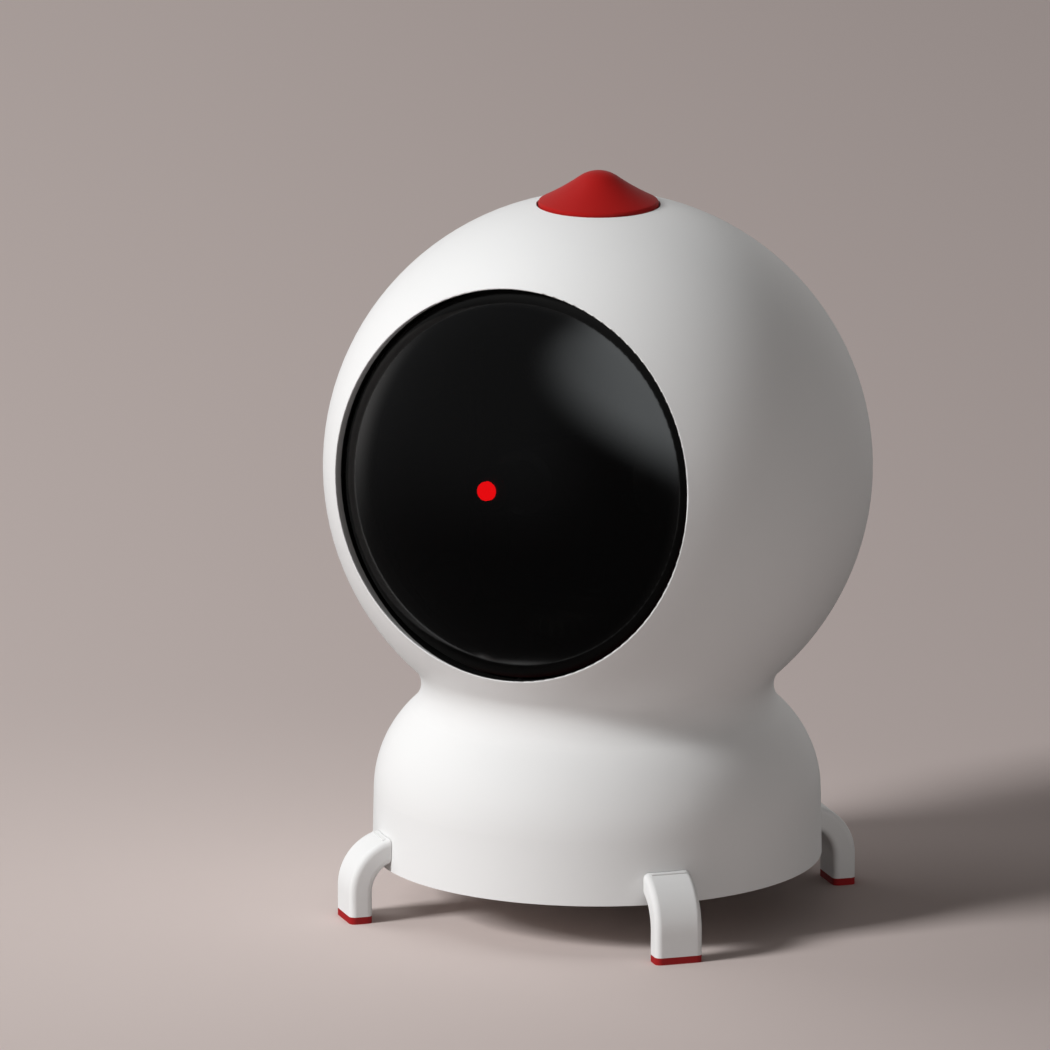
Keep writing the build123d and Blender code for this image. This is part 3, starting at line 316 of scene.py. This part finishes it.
WHITE = (0.80, 0.80, 0.796)
WHITE_SHADE = 0.012
finishes = {
    "white_shell": moulded("white_shell_abs", WHITE, 0.42, shade=WHITE_SHADE),
    "white_leg": moulded("white_leg_abs", WHITE, 0.40, shade=WHITE_SHADE),
    "white_plate": moulded("white_plate_abs", (0.76, 0.757, 0.745), 0.55, relief=9e-6, shade=0.02),
    "smoked_window": smoked_acrylic(),
    "black_plastic": moulded("black_moulding", (0.012, 0.012, 0.013), 0.6, relief=6e-6, shade=0.2),
    "red_plastic": moulded(
        "red_button_abs", (0.39, 0.010, 0.009), 0.5, relief=3e-6, shade=0.06, shine=0.28
    ),
    "red_rubber": moulded(
        "red_foot_rubber", (0.36, 0.012, 0.014), 0.75, grain=1800, relief=8e-6, shade=0.12
    ),
    "grey_plastic": moulded("grey_moulding", (0.22, 0.225, 0.235), 0.55, relief=6e-6),
    "gear_acetal": moulded("natural_acetal", (0.80, 0.78, 0.70), 0.38, relief=2e-6),
    "screw_steel": metal("zinc_plated_screw", (0.62, 0.62, 0.63), 0.34, "z"),
    "spring_steel": metal("spring_wire", (0.6, 0.6, 0.6), 0.3, "z"),
    "bush_brass": metal("turned_brass", (0.74, 0.56, 0.27), 0.3, "z"),
    "motor_can": metal("drawn_motor_can", (0.6, 0.6, 0.62), 0.36, "z"),
    "socket_metal": metal("rolled_socket_steel", (0.68, 0.68, 0.69), 0.28, "y"),
    "battery_wrap": moulded("battery_foil", (0.5, 0.52, 0.56), 0.3, grain=900, relief=20e-6, shade=0.1),
    "lead_cover": moulded("silicone_lead", (0.32, 0.02, 0.02), 0.5),
    "circuit_board": circuit_board(),
    "chip_black": moulded("chip_epoxy", (0.02, 0.02, 0.022), 0.5, relief=5e-6, shade=0.15),
    "connector_nylon": moulded("natural_nylon", (0.8, 0.78, 0.72), 0.5),
    "laser_lens": glowing_lens(),
    "contact_gold": metal("gold_contact", (0.83, 0.62, 0.28), 0.26, "y"),
}
BRIGHT_METALS = (
    "screw_steel",
    "spring_steel",
    "bush_brass",
    "motor_can",
    "socket_metal",
    "contact_gold",
)

# A slot of a CAD node has the name of its finish. Two nodes have a finish of their own.
own_finishes = {
    # The front shell's finish carries the painted shade in its window's opening.
    "front_shell": moulded(
        "white_shell_abs_painted_gap_shade", WHITE, 0.42, shade=WHITE_SHADE, paint=painted_gap_shade
    ),
    "laser_barrel": metal("blackened_brass", (0.02, 0.02, 0.022), 0.5, "y"),
}
for node in frame["nodes"].values():
    for place in node.material_slots:
        place.material = finishes[place.material.name.split(".")[0]]
for name, material in own_finishes.items():
    frame["nodes"][name].material_slots[0].material = material


# ---------------------------------------------------------------- small parts by Geometry Nodes
def link(mesh, name):
    """A mesh as an object of the scene."""
    made = bpy.data.objects.new(name, mesh)
    bpy.context.scene.collection.objects.link(made)
    return made


class Recipe(Sheet):
    """A Geometry Nodes tree written as expressions. Its inputs are sizes with names."""

    KINDS = {float: "NodeSocketFloat", int: "NodeSocketInt", tuple: "NodeSocketVector"}

    def __init__(self, name, **sizes):
        self.tree = bpy.data.node_groups.new(name, "GeometryNodeTree")
        self.tree.interface.new_socket("Points", in_out="INPUT", socket_type="NodeSocketGeometry")
        for size, value in sizes.items():
            kind = self.KINDS[type(value)]
            socket = self.tree.interface.new_socket(size, in_out="INPUT", socket_type=kind)
            socket.default_value = value
        self.tree.interface.new_socket("Geometry", in_out="OUTPUT", socket_type="NodeSocketGeometry")
        self.entry = self.tree.nodes.new("NodeGroupInput")

    def given(self, *names):
        """The tree's inputs of these names."""
        found = [Value(self, self.entry.outputs[name]) for name in names]
        return found if len(found) > 1 else found[0]

    def vector(self, x, y, z):
        return self.node("ShaderNodeCombineXYZ", None, {0: x, 1: y, 2: z})

    def here(self):
        """The x, y and z of each point of the mesh."""
        return self.parts_of(self.node("GeometryNodeInputPosition"))

    def reshape(self, shape, x, y, z):
        """The shape with each of its points at a new place."""
        moved = {"Geometry": shape, "Position": self.vector(x, y, z)}
        return self.node("GeometryNodeSetPosition", None, moved)

    def smooth(self, shape, crease=0.6):
        """Smooth shading, with the edges kept sharp that turn by more than the crease, in radians."""
        angle = self.node("GeometryNodeInputMeshEdgeAngle")
        round_edge = self.node("FunctionNodeCompare", {"operation": "LESS_THAN"}, {0: angle, 1: crease})
        for domain, chosen in (("FACE", True), ("EDGE", round_edge)):
            inputs = {0: shape, "Shade Smooth": chosen}
            shape = self.node("GeometryNodeSetShadeSmooth", {"domain": domain}, inputs)
        return shape

    def at_points(self, shape, turn=None):
        """A copy of the shape at each point that the tree is given."""
        inputs = {"Points": self.given("Points"), "Instance": shape}
        if turn:
            inputs["Rotation"] = turn
        return self.node("GeometryNodeInstanceOnPoints", None, inputs)

    def end(self, shape, material):
        """Make the copies real, give them their finish and send them out."""
        real = self.node("GeometryNodeRealizeInstances", None, {"Geometry": shape})
        finished = self.node("GeometryNodeSetMaterial", None, {"Geometry": real, "Material": material})
        output = self.tree.nodes.new("NodeGroupOutput")
        self.tree.links.new(finished.socket, output.inputs[0])

    def cook(self, points, **sizes):
        """A plain mesh from the tree, at these points and with these sizes, with one material slot."""
        start = bpy.data.meshes.new("points")
        start.from_pydata(points, [], [])
        source = link(start, "points")
        modifier = source.modifiers.new("recipe", "NODES")
        modifier.node_group = self.tree
        for item in self.tree.interface.items_tree:
            if item.in_out == "INPUT" and item.name in sizes:
                modifier[item.identifier] = sizes[item.name]
        graph = bpy.context.evaluated_depsgraph_get()
        made = bpy.data.meshes.new_from_object(source.evaluated_get(graph))
        bpy.data.objects.remove(source)
        finish_used = [material for material in made.materials if material]
        made.materials.clear()
        made.materials.append(finish_used[0])
        made.polygons.foreach_set("material_index", [0] * len(made.polygons))
        return made


# ---------------------------------------------------------------- screws
def screw_shank(tree):
    """Threaded shank that hangs below the origin, pointed at its end."""
    shank, length, pitch = tree.given("Shank", "Length", "Pitch")
    thread_depth, tip_share, tip_length = 0.24, 0.45, 1.4  # shares of the shank's radius
    x, y, z = tree.here()
    turns = y.math("ARCTAN2", x) * (0.5 / math.pi) + z * pitch ** -1.0
    groove = turns.math("PINGPONG", 0.5) * 2.0
    end = length * -0.5
    taper = tip_share + (1 - tip_share) * z.above(end, end + shank * tip_length)
    narrow = (1 - thread_depth * groove) * taper
    rod = tree.node(
        "GeometryNodeMeshCylinder",
        None,
        {"Vertices": 16, "Side Segments": 72, "Radius": shank, "Depth": length},
    )
    return tree.reshape(rod, x * narrow, y * narrow, z - length * 0.5)


def screw_head(tree):
    """Domed pan head that stands on the origin, with a cross cut into it."""
    head, height = tree.given("Head", "Height")
    draft, crown = 0.14, 0.32  # shares of the head's radius and of its height
    slot_length, slot_width = 1.15, 0.27  # shares of the head's radius
    x, y, z = tree.here()
    rise = z * height ** -1.0 + 0.5
    out = (x * x + y * y) * (head * head) ** -1.0
    inward = 1 - draft * rise * rise * rise
    pan = tree.node(
        "GeometryNodeMeshCylinder",
        {"fill_type": "TRIANGLE_FAN"},
        {"Vertices": 32, "Side Segments": 5, "Fill Segments": 4, "Radius": head, "Depth": height},
    )
    pan = tree.reshape(pan, x * inward, y * inward, height * rise * (1 - crown * out * out))
    slots = []
    for long, wide in ((slot_length, slot_width), (slot_width, slot_length)):
        size = tree.vector(head * long, head * wide, height)
        bar = tree.node("GeometryNodeMeshCube", None, {"Size": size})
        raised = {0: bar, "Translation": tree.vector(0, 0, height)}
        slots.append(tree.node("GeometryNodeTransform", None, raised))
    cut = {"operation": "DIFFERENCE", "solver": "EXACT"}
    return tree.node("GeometryNodeMeshBoolean", cut, {"Mesh 1": pan, "Mesh 2": slots})


def screw_recipe():
    """Screws whose heads' undersides lie on the given points, each turned by chance about its axis."""
    tree = Recipe(
        "cross_screw",
        Shank=1.2 * MM,
        Length=6 * MM,
        Head=2.1 * MM,
        Height=1.2 * MM,
        Pitch=0.6 * MM,
        Axis=(0.0, 0.0, 1.0),
        Seed=1,
    )
    parts = [screw_shank(tree), screw_head(tree)]
    whole = tree.smooth(tree.node("GeometryNodeJoinGeometry", None, {0: parts}))
    along = {"Vector": tree.given("Axis")}
    facing = tree.node("FunctionNodeAlignRotationToVector", {"axis": "Z"}, along)
    quarter_turn = {2: 0.0, 3: math.pi / 2, "Seed": tree.given("Seed")}
    chance = tree.node("FunctionNodeRandomValue", {"data_type": "FLOAT"}, quarter_turn, out=1)
    spin = tree.node("FunctionNodeAxisAngleToRotation", None, {"Axis": (0, 0, 1), "Angle": chance})
    turn = tree.node("FunctionNodeRotateRotation", {"rotation_space": "LOCAL"}, {0: facing, 1: spin})
    tree.end(tree.at_points(whole, turn), finishes["screw_steel"])
    return tree


def loose_parts(node):
    """The vertices of each separate solid of a CAD node, as lists of places."""
    shape = bmesh.new()
    shape.from_mesh(frame["nodes"][node].data)
    bmesh.ops.remove_doubles(shape, verts=shape.verts, dist=1e-6)
    left, parts = set(shape.verts), []
    while left:
        part, waiting = [], [min(left, key=lambda vertex: vertex.index)]
        left.discard(waiting[0])
        while waiting:
            vertex = waiting.pop()
            part.append(vertex.co.copy())
            for near in (edge.other_vert(vertex) for edge in vertex.link_edges):
                if near in left:
                    left.discard(near)
                    waiting.append(near)
        parts.append(part)
    shape.free()
    return parts


# Shares of the shank's radius in the CAD.
CREST_SHARE, HEAD_SHARE, PITCH_SHARE = 0.95, 1.74, 0.42


def screws(tree, node, body, shank, axis, seed):
    """The screws of one CAD node, each on the axis of its solid and as long as it."""
    axis = Vector(axis).normalized()
    head_height = shank
    points, length = [], 0.0
    for part in loose_parts(node):
        middle = sum(part, Vector()) / len(part)
        along = [corner.dot(axis) for corner in part]
        under = max(along) - head_height
        points.append(middle + axis * (under - middle.dot(axis)))
        length = under - min(along)
    mesh = tree.cook(
        points,
        Shank=CREST_SHARE * shank,
        Length=length,
        Head=HEAD_SHARE * shank,
        Height=head_height,
        Pitch=PITCH_SHARE * shank,
        Axis=axis,
        Seed=seed,
    )
    piece = link(mesh, node + "_cut")
    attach(piece, body)
    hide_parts(node)


LARGE, SMALL = 1.25 * MM, 0.9 * MM
WINDOW_BACK = (0, math.cos(WINDOW_TILT), -math.sin(WINDOW_TILT))
# CAD node, its body, the shank's radius, and the way from a screw's tip to its head.
SCREWS = (
    ("shell_screws", "housing", LARGE, (0, 1, 0)),
    ("base_screws", "housing", LARGE, (0, 0, -1)),
    ("window_screws", "housing", SMALL, WINDOW_BACK),
    ("board_screws", "housing", SMALL, (0, 0, 1)),
    ("guide_screws", "housing", SMALL, (0, 0, 1)),
    ("switch_screws", "housing", SMALL, (0, 0, 1)),
    ("frame_screws", "housing", LARGE, (0, -1, 0)),
    ("pan_motor_screws", "housing", SMALL, (0, 0, -1)),
    ("tilt_motor_screws", "pan_head", SMALL, (-1, 0, 0)),
)
cross_screw = screw_recipe()
for seed, (node, body, shank, axis) in enumerate(SCREWS):
    screws(cross_screw, node, body, shank, axis, seed)


# ---------------------------------------------------------------- the button's spring
SPRING_WIRE = 0.5 * MM
SPRING_TURNS = 4.5


def spring_recipe():
    """Coil spring that stands on the given point."""
    tree = Recipe("coil_spring", Coil=3.9 * MM, Wire=SPRING_WIRE, Turns=SPRING_TURNS, Height=6.6 * MM)
    coil, wire, turns, height = tree.given("Coil", "Wire", "Turns", "Height")
    winding = {"Rotations": turns, "Start Radius": coil, "End Radius": coil, "Height": height}
    path = tree.node("GeometryNodeCurveSpiral", None, {"Resolution": 32, **winding})
    section = {"Resolution": 12, "Radius": wire * 0.5}
    round_wire = tree.node("GeometryNodeCurvePrimitiveCircle", None, section)
    swept = {"Curve": path, "Profile Curve": round_wire, "Fill Caps": True}
    wound = tree.node("GeometryNodeCurveToMesh", None, swept)
    tree.end(tree.at_points(tree.smooth(wound, 1.0)), finishes["spring_steel"])
    return tree


def spring():
    """The button's return spring."""
    low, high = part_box("button_spring")
    coil = (high.x - low.x - SPRING_WIRE) / 2
    height = high.z - low.z - SPRING_WIRE
    foot = Vector((0, 0, low.z + SPRING_WIRE / 2))
    mesh = spring_recipe().cook([foot], Coil=coil, Wire=SPRING_WIRE, Turns=SPRING_TURNS, Height=height)
    piece = link(mesh, "coil")
    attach(piece, "housing")
    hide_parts("button_spring")
    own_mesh(piece)


spring()

# ---------------------------------------------------------------- the charging socket's contacts
CONTACT_COUNT = 12
CONTACT_STEP = (0.5 * MM, 0.0, 0.0)
CONTACT_SIZE = (0.3 * MM, 2.2 * MM, 0.06 * MM)
CONTACT_SETBACK = 2.2 * MM  # of a contact's middle behind the socket's mouth
HALF_TONGUE = 0.35 * MM


def contact_recipe():
    """A row of flat metal contacts, with its middle on each given point."""
    tree = Recipe("contact_row", Count=CONTACT_COUNT, Step=CONTACT_STEP, Size=CONTACT_SIZE)
    count, step, size = tree.given("Count", "Step", "Size")
    step_x, step_y, _ = tree.parts_of(step)
    half = (count - 1) * -0.5
    start = tree.vector(step_x * half, step_y * half, 0)
    spacing = {"Count": count, "Start Location": start, "Offset": step}
    line = tree.node("GeometryNodeMeshLine", None, spacing)
    contact = tree.node("GeometryNodeMeshCube", None, {"Size": size})
    row = tree.node("GeometryNodeInstanceOnPoints", None, {"Points": line, "Instance": contact})
    tree.end(tree.at_points(row), finishes["contact_gold"])
    return tree


def contacts():
    """The charging socket's contacts, on both faces of its tongue."""
    low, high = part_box("usb_socket")
    middle = (low.z + high.z) / 2
    rows = [(0, high.y - CONTACT_SETBACK, middle + side * HALF_TONGUE) for side in (-1, 1)]
    mesh = contact_recipe().cook(rows, Count=CONTACT_COUNT, Step=CONTACT_STEP, Size=CONTACT_SIZE)
    piece = link(mesh, "socket_contacts")
    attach(piece, "housing")


contacts()

# ---------------------------------------------------------------- camera
CAMERA_AZIMUTH = math.radians(27.2)
CAMERA_ELEVATION = math.radians(13.76)
CAMERA_ROLL = math.radians(0.07)
CAMERA_DISTANCE = 3.0229
AIM_RIGHT = -10.59 * MM
AIM_UP = -8.65 * MM
AIM_HEIGHT = 65.13 * MM
FOCAL_PIXELS = 20787.0
PICTURE_PIXELS = 1050.0
SENSOR_WIDTH = 36.0

back = Vector(
    (
        math.sin(CAMERA_AZIMUTH) * math.cos(CAMERA_ELEVATION),
        -math.cos(CAMERA_AZIMUTH) * math.cos(CAMERA_ELEVATION),
        math.sin(CAMERA_ELEVATION),
    )
)
right = Vector((math.cos(CAMERA_AZIMUTH), math.sin(CAMERA_AZIMUTH), 0.0))
up = back.cross(right)


def set_camera():
    """Long lens a little right of the window's axis and above it."""
    data = bpy.data.cameras.new("camera")
    data.sensor_width = SENSOR_WIDTH
    data.lens = FOCAL_PIXELS * SENSOR_WIDTH / PICTURE_PIXELS
    data.clip_start = 0.1
    data.clip_end = 20.0
    camera = bpy.data.objects.new("camera", data)
    bpy.context.scene.collection.objects.link(camera)
    rolled_right = right * math.cos(CAMERA_ROLL) + up * math.sin(CAMERA_ROLL)
    rolled_up = up * math.cos(CAMERA_ROLL) - right * math.sin(CAMERA_ROLL)
    turn = Matrix((rolled_right, rolled_up, back)).transposed()
    aim = Vector((0.0, 0.0, AIM_HEIGHT)) + AIM_RIGHT * right + AIM_UP * up
    camera.matrix_world = Matrix.Translation(aim + back * CAMERA_DISTANCE) @ turn.to_4x4()
    bpy.context.scene.camera = camera


set_camera()


# ---------------------------------------------------------------- lamps
def toward(azimuth, elevation):
    """Unit vector towards a compass direction: 0 is the side that the window faces, 90 is +X."""
    a, e = math.radians(azimuth), math.radians(elevation)
    return Vector((math.sin(a) * math.cos(e), -math.cos(a) * math.cos(e), math.sin(e)))


def only_for(name, objects):
    """A collection that a lamp or glowing card is limited to."""
    group = bpy.data.collections.new(name)
    for one in objects:
        group.objects.link(one)
    return group


def lamp(name, azimuth, elevation, distance, width, power, colour):
    """Soft square lamp that faces the middle of the globe."""
    data = bpy.data.lights.new(name, "AREA")
    data.shape = "RECTANGLE"
    data.size = data.size_y = width
    data.energy = power
    data.color = colour
    light = bpy.data.objects.new(name, data)
    bpy.context.scene.collection.objects.link(light)
    direction = toward(azimuth, elevation)
    light.location = Vector((0, 0, GLOBE_CENTRE_Z)) + direction * distance
    light.rotation_mode = "QUATERNION"
    light.rotation_quaternion = direction.to_track_quat("Z", "Y")
    light.visible_camera = False
    light.visible_glossy = False
    return light


COOL, WARM, FAINTLY_WARM = (0.988, 0.996, 1.0), (1.0, 0.985, 0.97), (1.0, 0.99, 0.98)
lamp("key_lamp", -38, 29, 2.5, 0.6, 58.2, COOL)
lamp("top_lamp", -90, 50, 2.0, 1.0, 6.2, COOL)
fill_lamp = lamp("fill_lamp", 60, 8, 1.5, 0.9, 3.3, WARM)
crown_lamp = lamp("crown_lamp", -90, 50, 0.4, 0.2, 0.14, COOL)
rear_lamp = lamp("rear_lamp", 178, 18, 2.2, 1.0, 9.0, FAINTLY_WARM)

# The last three don't light the floor.
pieces = [piece for piece in bpy.context.scene.collection.all_objects if piece.type == "MESH"]
object_only = only_for("object_only", pieces)
for light in (fill_lamp, crown_lamp, rear_lamp):
    light.light_linking.receiver_collection = object_only

# ---------------------------------------------------------------- floor
FLOOR_RADIUS = 8.0
FLOOR_LEFT, FLOOR_RIGHT_PAINTED_SHADE, PAINTED_LIGHT_POOL = (0.642, 0.553, 0.526), (0.543, 0.467, 0.447), (0.73, 0.631, 0.599)
PAINTED_SHADE_ACROSS = (-0.12, 0.13)
PAINTED_POOL_OFFSET = 0.04  # of the painted pool of light's middle towards -X and -Y
PAINTED_POOL_REACH = (0.02, 0.15)
BOUNCE_LOSS = 0.18


def floor():
    """Plain pale floor, with painted shade towards the right and a painted pool of light near the
    object, and clear from below.

    It throws less light back than it shows, so that the white base doesn't clip.
    """
    mesh = bpy.data.meshes.new("floor")
    shape = bmesh.new()
    bmesh.ops.create_circle(shape, cap_ends=True, radius=FLOOR_RADIUS, segments=96)
    shape.to_mesh(mesh)
    shape.free()
    slab = link(mesh, "floor")
    material, sheet = finish("floor_paper")
    x, y, _ = sheet.parts_of(sheet.place())
    across = x * right.x + y * right.y
    # Painted shade: the paper darkens towards the right.
    paper = sheet.mix(across.above(*PAINTED_SHADE_ACROSS), rgba(FLOOR_LEFT), rgba(FLOOR_RIGHT_PAINTED_SHADE))
    # Painted pool of light: the paper is lighter near the object.
    east, north = x + PAINTED_POOL_OFFSET, y + PAINTED_POOL_OFFSET
    near = 1 - ((east * east + north * north) ** 0.5).above(*PAINTED_POOL_REACH)
    paper = sheet.mix(near, paper, rgba(PAINTED_LIGHT_POOL))
    camera = sheet.node("ShaderNodeLightPath", out="Is Camera Ray")
    dimmer = sheet.mix(BOUNCE_LOSS, paper, (0, 0, 0, 1))
    diffuse = sheet.node("ShaderNodeBsdfDiffuse", None, {"Color": sheet.mix(camera, dimmer, paper)})
    clear = sheet.node("ShaderNodeBsdfTransparent")
    below = sheet.node("ShaderNodeNewGeometry", out="Backfacing")
    sheet.end(sheet.node("ShaderNodeMixShader", None, {0: below, 1: diffuse, 2: clear}))
    mesh.materials.append(material)
    slab.visible_glossy = False


floor()


# ---------------------------------------------------------------- glowing cards
def part_sphere(name, reach, turns, rises, steps=32):
    """Part of a sphere round the globe, between two azimuths and two elevations."""
    share = [i / steps for i in range(steps + 1)]
    corners = [
        toward(turns[0] + (turns[1] - turns[0]) * u, rises[0] + (rises[1] - rises[0]) * v) * reach
        + Vector((0, 0, GLOBE_CENTRE_Z))
        for v in share
        for u in share
    ]
    row = steps + 1
    faces = [
        (j * row + i, j * row + i + 1, (j + 1) * row + i + 1, (j + 1) * row + i)
        for j in range(steps)
        for i in range(steps)
    ]
    mesh = bpy.data.meshes.new(name)
    mesh.from_pydata(corners, [], faces)
    return mesh


def glowing_card(name, reach, turns, rises, glow, seen_by):
    """Glowing part of a sphere, seen only as a reflection and only by some pieces."""
    mesh = part_sphere(name, reach, turns, rises)
    card = link(mesh, name)
    material, sheet = finish(name + "_glow")
    x, y, z = sheet.parts_of(sheet.place())
    turn = x.math("ARCTAN2", y * -1.0) * math.degrees(1)
    rise = ((z - GLOBE_CENTRE_Z) * (1 / reach)).math("ARCSINE") * math.degrees(1)
    inputs = {"Color": (0.93, 0.98, 1.0, 1), "Strength": glow(turn, rise)}
    shine = sheet.node("ShaderNodeEmission", None, inputs)
    clear = sheet.node("ShaderNodeBsdfTransparent")
    sheet.end(sheet.node("ShaderNodeAddShader", None, {0: shine, 1: clear}))
    mesh.materials.append(material)
    card.visible_camera = False
    card.visible_diffuse = False
    card.visible_shadow = False
    card.visible_transmission = False
    card.light_linking.receiver_collection = only_for(name + "_sees", seen_by)


# A pair holds the two azimuths or elevations, in degrees, between which a glow fades in or out.
PANE_GLOW, PANE_SLANT = 2.1, 0.58
PANE_TURN, PANE_EDGE, PANE_TOP = (-40, 60), (36, 66), (68, 88)
ROOM_GLOW = 0.08
ROOM_RISE, ROOM_TURN = (-30, 20), (-10, 40)
DARK_TURN = (95, 118)


def window_glow(turn, rise):
    """A bright pane up on the right, with a slanting lower edge, and a dim room on the left."""
    slant = rise + PANE_SLANT * turn
    fade = 1 - 0.5 * rise.above(*PANE_TOP)
    pane = PANE_GLOW * turn.above(*PANE_TURN) * slant.above(*PANE_EDGE) * fade
    room = ROOM_GLOW * rise.above(*ROOM_RISE) * (1 - turn.above(*ROOM_TURN))
    return (pane + room) * (1 - turn.above(*DARK_TURN))


def metal_glow(turn, rise):
    """Even all round, and brighter from above."""
    return 0.3 + 0.9 * rise.above(-20, 50)


glowing_card("window_card", 1.2, (-120, 120), (-30, 89), window_glow, [frame["nodes"]["window"]])
bright_metals = {finishes[name] for name in BRIGHT_METALS}
metal_pieces = [piece for piece in pieces if bright_metals & set(piece.data.materials)]
glowing_card("metal_card", 1.4, (0, 360), (-89, 89), metal_glow, metal_pieces)

# ---------------------------------------------------------------- surroundings
DIM_LIGHT, SHOWN_LIGHT, DARKER_REFLECTION, REAR_LEFT_GLOW = 0.12, 0.23, 0.09, 0.35
REAR_LEFT = (-0.6, 0.8)  # x and y of the way to the glow's middle
GLOW_SPREAD, GLOW_RISE = (0.6, 0.85), (-0.4, 0.05)


def world():
    """Even dim light from all round. Reflections see it darker, but for a glow at the rear left."""
    around = bpy.data.worlds.new("studio")
    bpy.context.scene.world = around
    sheet = Sheet(around)
    glossy = sheet.node("ShaderNodeLightPath", out="Is Glossy Ray")
    camera = sheet.node("ShaderNodeLightPath", out="Is Camera Ray")
    x, y, z = sheet.parts_of(sheet.node("ShaderNodeTexCoord", out="Generated"))
    glow = (x * REAR_LEFT[0] + y * REAR_LEFT[1]).above(*GLOW_SPREAD) * z.above(*GLOW_RISE)
    strength = DIM_LIGHT + SHOWN_LIGHT * camera + glossy * (REAR_LEFT_GLOW * glow - DARKER_REFLECTION)
    inputs = {"Color": (1.0, 0.965, 0.945, 1), "Strength": strength}
    sheet.end(sheet.node("ShaderNodeBackground", None, inputs), "ShaderNodeOutputWorld")


world()
bpy.context.scene.view_settings.view_transform = "Standard"
